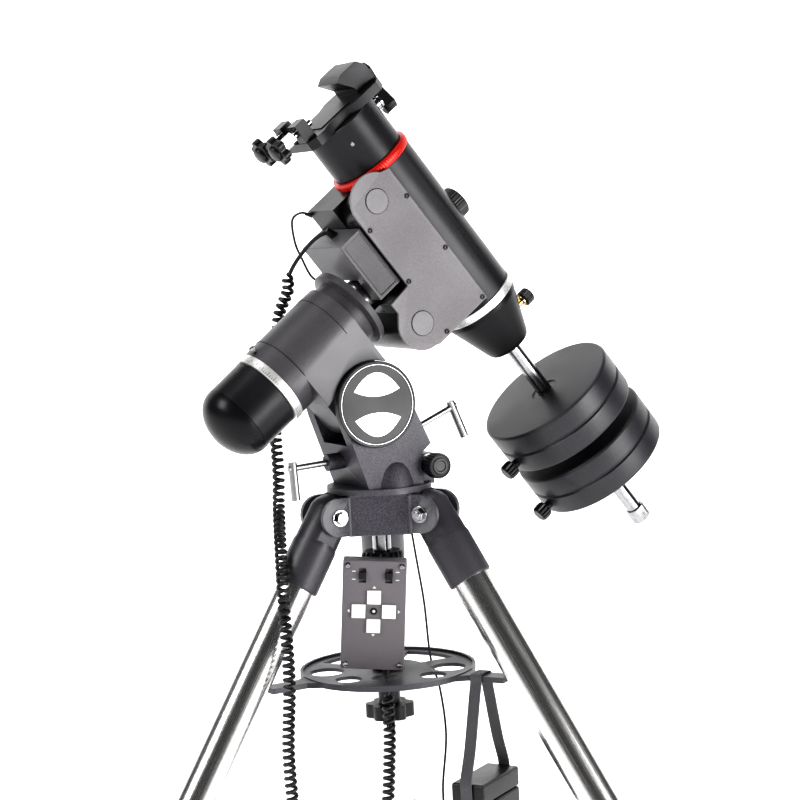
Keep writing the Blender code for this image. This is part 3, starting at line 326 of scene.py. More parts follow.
def merged(*meshes):
    work = bmesh.new()
    for mesh in meshes:
        work.from_mesh(mesh)
        bpy.data.meshes.remove(mesh)
    mesh = bpy.data.meshes.new("shape")
    work.to_mesh(mesh)
    work.free()
    return mesh


def aimed(start, end):
    """A matrix whose Z runs from start to end."""
    along = Vector(end) - Vector(start)
    return Matrix.Translation(start) @ along.to_track_quat("Z", "Y").to_matrix().to_4x4()


def rod(start, end, radius, steps=32, chamfer=0.0003):
    """A turned rod with chamfered ends."""
    long = (Vector(end) - Vector(start)).length
    profile = [(0, 0), (radius - chamfer, 0), (radius, chamfer), (radius, long - chamfer),
               (radius - chamfer, long), (0, long)]
    return placed(lathe(profile, steps), aimed(start, end))


def soften(piece, width, segments=2):
    """Rounds a piece's sharp edges, and keeps its flat faces flat in the light."""
    edges = piece.modifiers.new("edges", "BEVEL")
    edges.width, edges.segments = width, segments
    edges.limit_method, edges.angle_limit = "ANGLE", SHARP_EDGE
    edges.use_clamp_overlap = True
    piece.modifiers.new("flat_faces", "WEIGHTED_NORMAL")


def piece(name, mesh, finish, matrix, body, replaces=(), edge=0.0004, blend=None):
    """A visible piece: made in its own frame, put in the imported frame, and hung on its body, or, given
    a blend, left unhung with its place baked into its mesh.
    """
    mesh.transform(matrix)
    mesh.materials.append(finish)
    mesh.shade_smooth()
    made = bpy.data.objects.new(name, mesh)
    bpy.context.scene.collection.objects.link(made)
    if edge:
        soften(made, edge)
    else:
        mesh.set_sharp_from_angle(angle=SHARP_EDGE)
    if blend:
        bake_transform(made)
    else:
        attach(made, body)
    if replaces:
        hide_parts(*replaces)
    return made


# ---- Cords ----
def smooth_route(points, spacing):
    """Evenly spaced points on a smooth curve through the route's own points."""
    route = [Vector(point) for point in points]
    route = [2 * route[0] - route[1], *route, 2 * route[-1] - route[-2]]
    steps, dense = 40, []
    for p0, p1, p2, p3 in zip(route, route[1:], route[2:], route[3:]):
        for step in range(steps):
            t = step / steps
            dense.append(0.5 * (2 * p1 + (p2 - p0) * t + (2 * p0 - 5 * p1 + 4 * p2 - p3) * t * t
                                + (3 * p1 - p0 - 3 * p2 + p3) * t ** 3))
    dense.append(route[-2])
    even, walked = [dense[0]], 0.0
    for a, b in zip(dense, dense[1:]):
        span = (b - a).length
        while walked + span >= spacing:
            a = a.lerp(b, (spacing - walked) / span)
            even.append(a)
            span, walked = (b - a).length, 0.0
        walked += span
    return even


def across(points):
    """A direction square to the line at each point, turning as little as it can."""
    found, last = [], Vector((0.3, 0.2, 1.0))
    for i in range(len(points)):
        along = (points[min(i + 1, len(points) - 1)] - points[max(i - 1, 0)]).normalized()
        last = (last - along * last.dot(along)).normalized()
        found.append((along, last))
    return found


def tube(path, radius, sides=10):
    """A closed round tube whose rings stand on the path's points."""
    work = bmesh.new()
    rings = []
    for point, (along, side) in zip(path, across(path)):
        other = along.cross(side)
        rings.append([work.verts.new(point + radius * (cos(2 * pi * i / sides) * side
                                                       + sin(2 * pi * i / sides) * other))
                      for i in range(sides)])
    for low, high in zip(rings, rings[1:]):
        for i in range(sides):
            after = (i + 1) % sides
            work.faces.new((low[i], low[after], high[after], high[i]))
    work.faces.new(rings[0])
    work.faces.new(rings[-1])
    return mesh_of(work)


HEAD_ROUTE = [(-0.0790, 0.0000, 0.0652), (-0.0805, 0.0008, 0.0700), (-0.0880, 0.0050, 0.0730),
              (-0.0980, 0.0150, 0.0710), (-0.1150, 0.0310, 0.0630), (-0.1290, 0.0400, 0.0540),
              (-0.1360, 0.0440, 0.0440), (-0.1460, 0.0480, 0.0370), (-0.1570, 0.0510, 0.0300),
              (-0.1660, 0.0540, 0.0200), (-0.1720, 0.0560, 0.0060)]
HANGING_ROUTE = [(-0.100, 0.030, 0.030), (-0.102, 0.018, -0.020), (-0.100, -0.002, -0.068),
                 (-0.1005, -0.017, -0.100), (-0.0985, -0.056, -0.137), (-0.096, -0.090, -0.190),
                 (-0.0945, -0.094, -0.260), (-0.099, -0.092, -0.340), (-0.092, -0.088, -0.420),
                 (-0.066, -0.078, -0.470), (-0.034, -0.060, -0.465), (-0.010, -0.046, -0.420),
                 (-0.002, -0.040, -0.350), (-0.001, -0.040, -0.310), (-0.001, -0.040, -0.2652)]
PITCH, STRAND = 0.0070, 0.0020            # the curly cord's turns, and its strand's radius
STRAIGHT_HEAD, STRAIGHT_END, RUN_OUT = 0.066, 0.022, 0.010
POINTS_PER_TURN = 14


def from_pivot(point):
    """A point given from the mount's pivot height over the tripod's middle."""
    return ROOT @ move(0, 0, PIVOT_HEIGHT) @ Vector(point)


def curly_path(route):
    """The strand's own line: straight at both ends, and coiled round the route between them."""
    step = PITCH / POINTS_PER_TURN
    middle = smooth_route(route, step)
    long = step * len(middle)
    path = []
    for i, (point, (along, side)) in enumerate(zip(middle, across(middle))):
        at = i * step
        inside = min(at - STRAIGHT_HEAD, long - STRAIGHT_END - at) / RUN_OUT
        share = max(0.0, min(1.0, inside))
        reach = (COIL_RADIUS - STRAND) * share * share * (3 - 2 * share)
        a = 2 * pi * i / POINTS_PER_TURN
        path.append((point, point + reach * (cos(a) * side + sin(a) * along.cross(side))))
    return path


def curly_cord():
    """One coiled cord in three lengths, cut near the head's joints."""
    head = [POLAR @ Vector(point) for point in HEAD_ROUTE]
    hanging = [from_pivot(point) for point in HANGING_ROUTE]
    path = curly_path(head + hanging)

    def index_near(target):
        return min(range(len(path)), key=lambda i: (path[i][0] - target).length)

    first, second = index_near(head[-1]), index_near(hanging[1])
    last = len(path) - 1
    head_bend = ("ra_housing", POLAR @ Vector((-0.084, 0, 0)), POLAR @ Vector((-0.113, 0, 0)))
    middle_bend = ("azimuth_base", path[first][0], path[second][0])
    hanging_bend = ("tripod", path[second][0], from_pivot(HANGING_ROUTE[3]))
    lengths = (("curly_cord_head", 0, first, "dec_housing", head_bend, ["cord_upper"]),
               ("curly_cord_middle", first, second, "ra_housing", middle_bend, []),
               ("curly_cord_hanging", second, last, "azimuth_base", hanging_bend, ["cord_lower"]))
    for name, start, end, body, bend, replaced in lengths:
        line = [strand for middle, strand in path[start:end + 1]]
        made = piece(name, tube(line, STRAND), RUBBER, Matrix(), body, replaced, edge=0, blend=bend)


DEC_LEAD = [(-0.0690, 0.038, 0.0830), (-0.0745, 0.044, 0.0915), (-0.0840, 0.052, 0.0900),
            (-0.0945, 0.057, 0.0700), (-0.0990, 0.058, 0.0530), (-0.1030, 0.058, 0.0330),
            (-0.1000, 0.054, 0.0230), (-0.0920, 0.050, 0.0250), (-0.0870, 0.0465, 0.0310)]
POWER_LEAD = [(0.030, 0.004, -0.1310), (0.034, 0.020, -0.165), (0.040, 0.038, -0.215),
              (0.044, 0.044, -0.274), (0.052, 0.040, -0.305), (0.056, 0.022, -0.350),
              (0.050, 0.002, -0.400), (0.052, -0.018, -0.425), (0.062, -0.034, -0.418),
              (0.0750, -0.0433, -0.405)]


def leads():
    """The lead from the polar motor to the declination motor, and the one to the battery case."""
    line = smooth_route([POLAR @ Vector(point) for point in DEC_LEAD], 0.0024)
    made = piece("motor_lead", tube(line, LEAD_RADIUS), RUBBER, Matrix(), "dec_housing", ["dec_lead"],
                 edge=0)
    line = smooth_route([from_pivot(point) for point in POWER_LEAD], 0.004)
    made = piece("battery_lead", tube(line, LEAD_RADIUS), RUBBER, Matrix(), "tripod", ["power_lead"],
                 edge=0, blend=("tray", line[0], from_pivot(POWER_LEAD[3])))


def relief(name, start, end, thick, body):
    """A small ribbed sleeve where a cord goes into a housing."""
    long = (Vector(end) - Vector(start)).length
    profile, ribs = [(0, 0), (thick, 0)], 4
    for rib in range(ribs):
        share = rib / ribs
        radius = thick * (1 - 0.35 * share)
        profile += [(radius, long * (share + 0.05)), (radius, long * (share + 0.16)),
                    (radius * 0.86, long * (share + 0.18)), (radius * 0.86, long * (share + 0.23))]
    profile += [(thick * 0.6, long), (0, long)]
    piece(name, placed(lathe(profile, 24), aimed(start, end)), RUBBER, Matrix(), body, edge=0)


def reliefs():
    head = [POLAR @ Vector(point) for point in ((-0.0788, 0, 0.0643), (-0.0812, 0.0012, 0.0735))]
    relief("head_cord_plug", *head, 0.0046, "dec_housing")
    relief("handset_cord_sleeve", from_pivot((-0.001, -0.040, -0.2640)),
           from_pivot((-0.001, -0.040, -0.2800)), 0.0040, "tripod")
    ends = [POLAR @ Vector(point) for point in (DEC_LEAD[0], (-0.0728, 0.0415, 0.0890))]
    relief("motor_lead_sleeve", *ends, 0.0024, "dec_housing")


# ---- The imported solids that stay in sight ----
def keep(names, finish, edge=0.0006):
    """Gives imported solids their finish, merges their coplanar triangles and rounds their edges."""
    for name in names:
        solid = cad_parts[name]
        solid.data.materials.clear()
        solid.data.materials.append(finish)
        solid.data.shade_smooth()
        solid.modifiers.new("joined", "WELD").merge_threshold = 0.00001
        flats = solid.modifiers.new("flats", "DECIMATE")
        flats.decimate_type, flats.angle_limit = "DISSOLVE", radians(1)
        soften(solid, edge)


def kept_solids():
    keep(["tripod_hub"], HUB_PAINT, 0.0009)
    keep([f"leg_head_{side}" for side in LEG_ANGLES], SATIN_PAINT, 0.0008)
    keep(["dec_housing"], BLACK_PAINT, 0.0008)
    keep(["azimuth_base"], HUB_PAINT, 0.0009)
    keep(["saddle_plate"], BLACK_PAINT, 0.0008)
    # The polar housing and motor box are black paint lightened into a painted highlight.
    keep(["ra_housing", "ra_motor_box"], BLACK_PAINT_WITH_PAINTED_HIGHLIGHT, 0.0006)
    # The side plate is black paint lightened with painted light from the front.
    keep(["dec_cover"], BLACK_PAINT_WITH_PAINTED_LIGHT, 0.0006)
    keep(["ra_shaft"], STEEL, 0.0004)
    keep(["accessory_tray"], TRAY_PLASTIC, 0.0006)
    keep(["handset_body"], HANDSET_PLASTIC, 0.0003)
    keep([f"key_{way}" for way in ("up", "down", "left", "right")], WHITE, 0.0005)
    keep(["switch_speed", "switch_hemisphere"], PLASTIC, 0.0003)
    keep([f"leg_lock_knob_{side}" for side in LEG_ANGLES], PLASTIC, 0.0008)
    keep(["altitude_bolt_front", "altitude_bolt_rear"], FROSTED, 0.0006)


# ---- Tripod ----
def hub_ribs():
    """The upright ribs at the corners of the hub's walls."""
    ribs = []
    for angle in LEG_ANGLES.values():
        for side in (-1, 1):
            x, y = 0.0482, side * (EAR_OUTER - 0.0012)
            place = turn(angle, "Z") @ Vector((x, y, 0))
            low, high = HUB_BOTTOM + 0.0006, HUB_TOP - 0.0006
            ribs.append(rod((place.x, place.y, low), (place.x, place.y, high), 0.0022, 24, 0.0008))
    piece("hub_ribs", merged(*ribs), HUB_PAINT, ROOT @ move(0, 0, HINGE_HEIGHT), "tripod", edge=0)


def hinge_bolts():
    """A washer and a chamfered hex head at one end, a washer, a nut and the thread at the other."""
    washer = [(0, 0), (0.0085, 0), (0.0085, 0.0011), (0.0082, 0.0014), (0, 0.0014)]
    head = [(0, 0.0014), (0.0066, 0.0014), (0.0066, 0.0049), (0.0058, 0.0058), (0, 0.0058)]
    thread = [(0, 0.0040), (0.0040, 0.0040)]
    for ridge in range(3):
        low = 0.0050 + 0.0008 * ridge
        thread += [(0.0040, low), (0.0036, low + 0.0004)]
    thread += [(0.0034, 0.0072), (0, 0.0072)]
    for side in LEG_ANGLES:
        both = []
        for way, extra in ((1, []), (-1, [lathe(thread, 24)])):
            end = move(0, way * (EAR_OUTER + 0.0002), 0) @ turn(-way * pi / 2, "X")
            shapes = [lathe(washer, 48), placed(lathe(head, 6), turn(0.3, "Z")), *extra]
            both += [placed(shape, end) for shape in shapes]
        both.append(rod((0, -EAR_OUTER, 0), (0, EAR_OUTER, 0), 0.0042))
        piece(f"leg_bolt_{side}", merged(*both), CHROME, hinge_frame(side), "tripod",
              [f"hinge_bolt_{side}"], edge=0.0003)


def leg_tube():
    """The upper tube, open at both ends, from the leg's head into its clamp collar."""
    inner, top, low = TUBE_RADIUS - TUBE_WALL, -0.0603, COLLAR_TOP - 0.01
    profile = [(inner, top), (TUBE_RADIUS - 0.0003, top), (TUBE_RADIUS, top - 0.0003),
               (TUBE_RADIUS, low), (inner, low)]
    return lathe(profile, 96, True)


def clamp_collar():
    """The collar that grips the lower tube, grooved near both ends and ribbed between."""
    throat, rim, groove = LOWER_TUBE_RADIUS + 0.0003, 0.0235, 0.0228
    profile = [(TUBE_RADIUS + 0.0001, COLLAR_TOP), (0.0225, COLLAR_TOP), (rim, COLLAR_TOP - 0.0015),
               (rim, -0.474), (groove, -0.4752), (groove, -0.4800), (rim, -0.4812, 1),
               (rim, -0.4950, 1), (groove, -0.4962), (groove, -0.5010), (rim, -0.5020),
               (rim, COLLAR_END + 0.0015), (0.0222, COLLAR_END), (throat, COLLAR_END),
               (throat, -0.486), (TUBE_RADIUS + 0.0001, -0.4801)]
    return lathe(profile, 96, True, 24, 0.0008)


def sliding_tube():
    """The lower tube, plugged at its top, down into the foot."""
    radius, low = LOWER_TUBE_RADIUS, FOOT_TOP - 0.004
    profile = [(0, -0.1004), (radius - TUBE_WALL, -0.1004), (radius - TUBE_WALL, -0.1000),
               (radius - 0.0003, -0.1000), (radius, -0.1003), (radius, low), (0, low)]
    return lathe(profile, 96)


def foot(along):
    """The grooved rubber foot with its round end, flat where it meets the floor."""
    profile = [(LOWER_TUBE_RADIUS + 0.0001, FOOT_TOP + 0.0004), (FOOT_RADIUS - 0.0006, FOOT_TOP),
               (FOOT_RADIUS, FOOT_TOP - 0.0008)]
    for groove in range(4):
        low = FOOT_TOP - 0.006 - 0.006 * groove
        profile += [(FOOT_RADIUS, low), (FOOT_RADIUS - 0.0008, low - 0.0006),
                    (FOOT_RADIUS - 0.0008, low - 0.0018), (FOOT_RADIUS, low - 0.0024)]
    profile += [(FOOT_RADIUS * cos(radians(a)), -FOOT_DISTANCE - FOOT_RADIUS * sin(radians(a)))
                for a in range(0, 90, 9)]
    profile += [(0, -FOOT_DISTANCE - FOOT_RADIUS)]
    rubber = placed(lathe(profile, 64), along)
    for vertex in rubber.vertices:
        vertex.co.z = max(vertex.co.z, 0.0)
    return rubber


def legs():
    for side in LEG_ANGLES:
        along = leg_frame(side)
        leg, sliding = f"leg_{side}", f"lower_leg_{side}"
        piece(f"leg_tube_{side}", leg_tube(), STEEL, along, leg, [f"upper_leg_{side}"], edge=0)
        piece(f"leg_collar_{side}", clamp_collar(), PLASTIC, along, leg, edge=0.0003)
        piece(f"sliding_tube_{side}", sliding_tube(), STEEL, along, sliding, [sliding], edge=0)
        piece(f"foot_{side}", foot(along), RUBBER, Matrix(), sliding, edge=0.0003)


def centre_rod():
    """The thick rod in the hub, its fluted lock knob, and the thin threaded rod to the tray."""
    knob_low = LOCK_KNOB_TOP - 0.020
    bottom, top = TRAY_HEIGHT - 0.066, HINGE_HEIGHT + 0.012
    piece("hub_rod", rod((0, 0, LOCK_KNOB_TOP - 0.001), (0, 0, top), ROD_RADIUS, 64), CHROME, ROOT,
          "centre_rod", ["centre_rod"], edge=0)
    grip = [(0, LOCK_KNOB_TOP), (0.0190, LOCK_KNOB_TOP), (0.0205, LOCK_KNOB_TOP - 0.0020, 1),
            (0.0210, LOCK_KNOB_TOP - 0.0050, 1), (0.0210, knob_low + 0.003, 1), (0.0190, knob_low),
            (0, knob_low)]
    piece("hub_rod_knob", lathe(grip, 144, False, 18, 0.0016), PLASTIC, ROOT, "centre_rod", edge=0.0004)
    profile = [(0, knob_low + 0.002), (THIN_ROD - 0.0002, knob_low + 0.002)]
    ridge, pitch = bottom + 0.075, 0.0015
    profile.append((THIN_ROD - 0.0002, ridge))
    while ridge > bottom + 2 * pitch:
        profile += [(THIN_ROD, ridge - pitch / 2), (THIN_ROD - 0.0007, ridge - pitch)]
        ridge -= pitch
    profile += [(THIN_ROD - 0.001, bottom), (0, bottom)]
    piece("tray_rod", lathe(profile, 32), CHROME, ROOT, "centre_rod", edge=0)


def tray_knob():
    """The lobed nut under the tray and its sleeve."""
    shapes = [plate(lobed(0.0245, 0.005, 6), -0.007, 0.007),
              lathe([(THIN_ROD + 0.0004, 0.0069), (0.0125, 0.0069), (0.011, 0.009), (0.011, 0.0302),
                     (0.0106, 0.0307), (THIN_ROD + 0.0004, 0.0307)], 64, True)]
    piece("tray_nut_knob", merged(*shapes), PLASTIC, ROOT @ move(0, 0, TRAY_HEIGHT - 0.041), "tray_knob",
          ["tray_knob"], edge=0.0014)


def webbing_strap():
    """A band of webbing over the tray's arm and down both sides of the battery case."""
    thick, half_wide, side = 0.0015, 0.0060, CASE_WIDTH / 2 + 0.0018
    top = TRAY_HEIGHT + 0.0041
    right = [(side, CASE_TOP - 0.030), (side, CASE_TOP - 0.010), (side - 0.0004, CASE_TOP + 0.004),
             (side * 0.72, CASE_TOP + 0.032), (0.0160, top - 0.024), (0.0112, top - 0.008),
             (0.0107, top - 0.0024), (0.0088, top), (0.0, top + 0.0002)]
    line = [Vector((x, 0, z)) for x, z in right]
    line += [Vector((-x, 0, z)) for x, z in reversed(right[:-1])]
    route = smooth_route(line, 0.0015)
    work = bmesh.new()
    rings = []
    ribs = [-1.0, -0.86, -0.80, -0.3, 0.3, 0.80, 0.86, 1.0]
    for i, point in enumerate(route):
        along = (route[min(i + 1, len(route) - 1)] - route[max(i - 1, 0)]).normalized()
        outward = Vector((0, 1, 0)).cross(along)
        ring = []
        for face in (0.5, -0.5):
            for share in (ribs if face > 0 else reversed(ribs)):
                stitch = 0.00018 if abs(share) == 0.80 and i % 2 else 0.0
                place = point + Vector((0, share * half_wide, 0)) + outward * (face * thick)
                ring.append(work.verts.new(place + outward * (stitch if face > 0 else -stitch)))
        rings.append(ring)
    for low, high in zip(rings, rings[1:]):
        for i in range(len(low)):
            after = (i + 1) % len(low)
            work.faces.new((low[i], low[after], high[after], high[i]))
    work.faces.new(rings[0])
    work.faces.new(rings[-1])
    made = piece("webbing_strap", mesh_of(work), WEBBING, UNDER_ARM, "tray", ["strap"], edge=0)


def battery_case():
    """Two moulded halves with a seam, and ribs across the front and back of the lower half."""
    wide, deep, low = CASE_WIDTH / 2, CASE_DEPTH / 2, CASE_TOP - CASE_HEIGHT
    seam = CASE_TOP - 0.020
    piece("battery_case_body", box((-wide, -deep, low), (wide, deep, seam - 0.0004)), PLASTIC, UNDER_ARM,
          "tray", ["battery_case"], edge=0.0026)
    piece("battery_case_lid", box((-wide, -deep, seam), (wide, deep, CASE_TOP)), PLASTIC, UNDER_ARM,
          "tray", edge=0.0026)
    ribs = [box((-wide + 0.010, way * deep - 0.0005, low + 0.008 + 0.005 * i),
                (wide - 0.010, way * deep + 0.0005, low + 0.0102 + 0.005 * i))
            for i in range(6) for way in (-1, 1)]
    piece("battery_case_ribs", merged(*ribs), PLASTIC, UNDER_ARM, "tray", edge=0.0003)


# ---- Azimuth base ----
def azimuth_knobs():
    """A fluted grip on a chrome screw, at each side of the base."""
    grip = [(0, 0.0552), (0.0052, 0.0552), (0.0058, 0.0560), (0.0078, 0.0560), (0.0084, 0.0549),
            (0.0100, 0.0546), (0.0108, 0.0553), (0.0118, 0.0550), (0.0128, 0.0535, 1),
            (0.0128, 0.0480, 1), (0.0126, 0.0415, 1), (0.0112, 0.0402), (0, 0.0402)]
    collar = [(0, 0.0400), (0.0092, 0.0400), (0.0105, 0.0390), (0.0105, 0.0310), (0.0092, 0.0300),
              (0.0042, 0.0300), (0.0042, 0.0065), (0.0036, 0.0060), (0, 0.0060)]
    for name, way in (("near", 1), ("far", -1)):
        at = AZIMUTH @ move(AZIMUTH_KNOB_AT[0], 0, AZIMUTH_KNOB_AT[1]) @ turn(way * pi / 2, "X")
        body = f"azimuth_knob_{name}"
        piece(f"azimuth_grip_{name}", lathe(grip, 144, False, 24, 0.0009), PLASTIC, at, body, [body],
              edge=0.0002)
        piece(f"azimuth_screw_{name}", lathe(collar, 64), CHROME, at, body, edge=0.0002)


def lens(way, shrink=0.0):
    """An outline between two arcs that meet in points: a deep one outside, a shallow one inside."""
    tips, wide, count = 0.0142, 0.0250 - 1.6 * shrink, 24
    outer, inner = 0.0172 - shrink, 0.0062 - shrink
    xs = [wide * (2 * i / count - 1) for i in range(count + 1)]
    over = [(x, way * (tips + outer * (1 - (x / wide) ** 2))) for x in xs]
    return over + [(x, way * (tips - inner * (1 - (x / wide) ** 2))) for x in reversed(xs[1:-1])]


def altitude_disc():
    """The round side cap, with a fine ring and two plain silver fields."""
    face = 0.0460
    at = PIVOT @ turn(pi / 2, "X")
    disc = [(0, face), (0.0372, face), (0.0380, face - 0.0004), (0.0398, face - 0.0004),
            (0.0406, face), (0.0418, face), (0.0425, face - 0.0008), (0.0425, 0.0398), (0, 0.0398)]
    piece("altitude_cap", lathe(disc, 128), PLASTIC, at, "azimuth_base", ["altitude_disc"], edge=0.0002)
    ring = [(0.0389, face + 0.0002), (0.0393, face + 0.0002), (0.0393, face - 0.0005),
            (0.0389, face - 0.0005)]
    piece("altitude_cap_ring", lathe(ring, 128, True), SILVER, at, "azimuth_base", edge=0)
    fields, borders = [], []
    for way in (1, -1):
        fields.append(plate(lens(way), face - 0.0002, face + 0.0003))
        borders.append(plate(lens(way, 0.0009), face, face + 0.00035))
        fields.append(plate(lens(way, 0.0012), face, face + 0.0004))
    piece("altitude_cap_fields", merged(*fields), SILVER, at, "azimuth_base", edge=0)
    piece("altitude_cap_borders", merged(*borders), LINES, at, "azimuth_base", edge=0)


# ---- Polar housing ----
def polar_cap():
    """The hollow domed cap over the lower end of the polar axis."""
    radius, wall, rim, shoulder, dome = 0.0380, 0.003, -0.2348, -0.275, 0.028
    profile = [(0, shoulder), (radius - wall, shoulder), (radius - wall, rim), (radius - 0.0008, rim),
               (radius, rim - 0.0008), (radius, shoulder + 0.0010), (radius - 0.0005, shoulder + 0.0006),
               (radius - 0.0005, shoulder + 0.0002), (radius, shoulder - 0.0002)]
    profile += [(radius * cos(radians(a)), shoulder - dome * sin(radians(a)))
                for a in range(4, 90, 5)]
    profile += [(0, shoulder - dome)]
    piece("polar_cap", lathe(profile, 128), BLACK_PAINT, UP_POLAR, "polar_scope_cap", ["polar_scope_cap"],
          edge=0)


def setting_circle(name, matrix, body, low, high, outer, marks):
    """A silver ring with engraved divisions, every third one longer."""
    inner, chamfer = 0.0303, 0.0005
    profile = [(inner, high), (outer - chamfer, high), (outer, high - chamfer), (outer, low + chamfer),
               (outer - chamfer, low), (inner, low)]
    piece(name, lathe(profile, 144, True), SILVER, matrix, body, [body], edge=0)
    lines = []
    for mark in range(marks):
        long = 0.62 if mark % 3 == 0 else 0.36
        line = box((outer - 0.0004, -0.00016, low + 0.0008),
                   (outer + 0.00006, 0.00016, low + (high - low) * long))
        lines.append(placed(line, turn(2 * pi * mark / marks, "Z")))
    piece(f"{name}_marks", merged(*lines), LINES, matrix, body, edge=0)


def joint_line(x, thick):
    """A dark joint line over the top half of the polar housing."""
    start, end, steps = -4, 184, 60
    angles = [radians(start + (end - start) * i / steps) for i in range(steps + 1)]
    points = [Vector((x, HOUSING_RADIUS * cos(a), HOUSING_RADIUS * sin(a))) for a in angles]
    return tube(points, thick, 6)


def polar_details():
    """The housing's joint lines, and the setting circle's lock screw."""
    joints = [joint_line(-0.206, 0.0005), joint_line(-0.146, 0.00035)]
    piece("housing_joints", merged(*joints), LINES, POLAR, "ra_housing", edge=0)
    screw = [(0, 0.0075), (0.0026, 0.0075), (0.0032, 0.0068, 1), (0.0032, 0.0020, 1), (0.0018, 0.0014),
             (0.0018, 0), (0, 0)]
    at = POLAR @ move(-0.2205, 0, 0) @ turn(radians(12), "X") @ move(0, 0, HOUSING_RADIUS - 0.0004)
    piece("circle_lock_screw", lathe(screw, 96, False, 16, 0.0005), CHROME, at, "ra_housing", edge=0.0002)


# ---- Declination housing ----
def socket_screw(radius=0.0026):
    """A domed screw head with a hexagon socket."""
    high = radius * 0.55
    outside = lathe([(radius * 0.5, high), (radius * 0.8, high * 0.9), (radius, high * 0.4), (radius, 0),
                     (radius * 0.5, 0)], 32, True)
    socket = lathe([(0, high * 0.25), (radius * 0.52, high * 0.25), (radius * 0.52, -0.0002),
                    (0, -0.0002)], 6)
    return merged(outside, socket)


def cover_details():
    """The side plate's screws, and the round joint lines of its two worm caps."""
    facing = turn(pi / 2, "X")
    screws = [placed(socket_screw(), move(x, COVER_FACE, z) @ facing) for x, z in COVER_SCREWS]
    piece("cover_screws", merged(*screws), PLASTIC, POLAR, "dec_housing", edge=0)
    rings = []
    profile = [(0.0119, 0.0006), (0.0126, 0.0004), (0.0126, -0.0003), (0.0119, -0.0003)]
    for x, z in WORM_CAPS:
        rings.append(placed(lathe(profile, 72, True), move(x, COVER_FACE, z) @ facing))
    piece("worm_cap_lines", merged(*rings), LINES, POLAR, "dec_housing", edge=0)


def front_cap():
    """The ridged cap over the polar axis's front end."""
    profile = [(0, 0.0500), (0.0100, 0.0500), (0.0106, 0.0512), (0.0150, 0.0512), (0.0166, 0.0500, 1),
               (0.0168, 0.0440, 1), (0.0168, 0.0350, 1), (0, 0.0350)]
    piece("polar_front_cap", lathe(profile, 144, False, 36, 0.0005), PLASTIC, UP_POLAR, "dec_housing",
          edge=0.0002)


def dec_collar():
    """The cone between the declination housing and the counterweight shaft."""
    bore = SHAFT_RADIUS + 0.0003
    profile = [(0, -0.0856), (0.0300, -0.0856), (0.0300, -0.0943), (0.0410, -0.0943),
               (0.0415, -0.0950), (0.0411, -0.1000), (0.0405, -0.1010), (0.0245, -0.1475),
               (0.0238, -0.1490), (0.0225, -0.1510), (0.0215, -0.1515), (bore, -0.1515), (bore, -0.1200),
               (0, -0.1200)]
    piece("dec_cone", lathe(profile, 128), BLACK_PAINT, POLAR, "dec_housing", ["dec_collar"], edge=0.0003)


def dec_clamp_knob():
    """A small fluted grip on a brass screw."""
    base, height = 0.0335, -0.1285
    at = POLAR @ move(0, 0, height) @ turn(pi / 2, "Y")
    grip = [(0, base + 0.0186), (0.0040, base + 0.0186), (0.0046, base + 0.0190),
            (0.0068, base + 0.0190), (0.0084, base + 0.0176, 1), (0.0085, base + 0.0092, 1),
            (0.0068, base + 0.0080), (0, base + 0.0080)]
    stem = [(0, base + 0.0085), (0.0058, base + 0.0085), (0.0058, base + 0.0062),
            (0.0035, base + 0.0056), (0.0035, base), (0, base)]
    piece("clamp_grip", lathe(grip, 144, False, 24, 0.0007), PLASTIC, at, "dec_clamp_knob",
          ["dec_clamp_knob"], edge=0.0002)
    piece("clamp_stem", lathe(stem, 48), BRASS, at, "dec_clamp_knob", edge=0.0003)


def dec_head():
    """The turning head, its finely fluted red ring and its two screws."""
    low, high, radius, stub = 0.0975, 0.1475, 0.0390, 0.0247
    profile = [(0, high), (radius - 0.0008, high), (radius, high - 0.0008), (radius, low + 0.0005),
               (radius - 0.0005, low), (stub, low), (stub, 0.0225), (0, 0.0225)]
    piece("turning_head", lathe(profile, 128), BLACK_PAINT, POLAR, "dec_head", ["dec_head"], edge=0)
    ring = [(0.0250, low - 0.0003), (0.0418, low - 0.0003), (0.0428, 0.0962, 1), (0.0432, 0.0930, 1),
            (0.0428, 0.0895, 1), (0.0418, 0.0883), (0.0250, 0.0883)]
    piece("red_grip_ring", lathe(ring, 360, True, 90, 0.0004), RED, POLAR, "dec_head", ["red_ring"],
          edge=0)
    screws = [placed(socket_screw(0.0022), turn(a, "Z") @ move(radius - 0.0003, 0, HEAD_MIDDLE)
                     @ turn(pi / 2, "Y")) for a in (radians(-118), radians(62))]
    piece("head_screws", merged(*screws), CHROME, POLAR, "dec_head", edge=0)


def saddle_details():
    """The two clamp screws through the saddle's lugs, each with a collar and a lobed grip."""
    for name, way in (("near", -1), ("far", 1)):
        at = (POLAR @ move(SADDLE_SCREW_BACK, way * SADDLE_SCREW_SIDE, SADDLE_SCREW_HEIGHT)
              @ turn(-pi / 2, "Y"))
        body = f"saddle_knob_{name}"
        button = [(0, 0.0382), (0.0060, 0.0380), (0.0085, 0.0366), (0.0085, 0.0330), (0, 0.0330)]
        grip = merged(plate(lobed(0.0150, 0.0038, 6), 0.026, 0.034), lathe(button, 48))
        piece(f"saddle_grip_{name}", grip, PLASTIC, at, body, [body], edge=0.0011)
        collar = lathe([(0, 0.0095), (0.0058, 0.0095), (0.0064, 0.0103), (0.0064, 0.0262),
                        (0.0058, 0.0268), (0, 0.0268)], 6)
        screw = rod((0, 0, -0.0138), (0, 0, 0.0100), 0.0038)
        piece(f"saddle_screw_{name}", merged(collar, screw), CHROME, at, body, edge=0.0003)


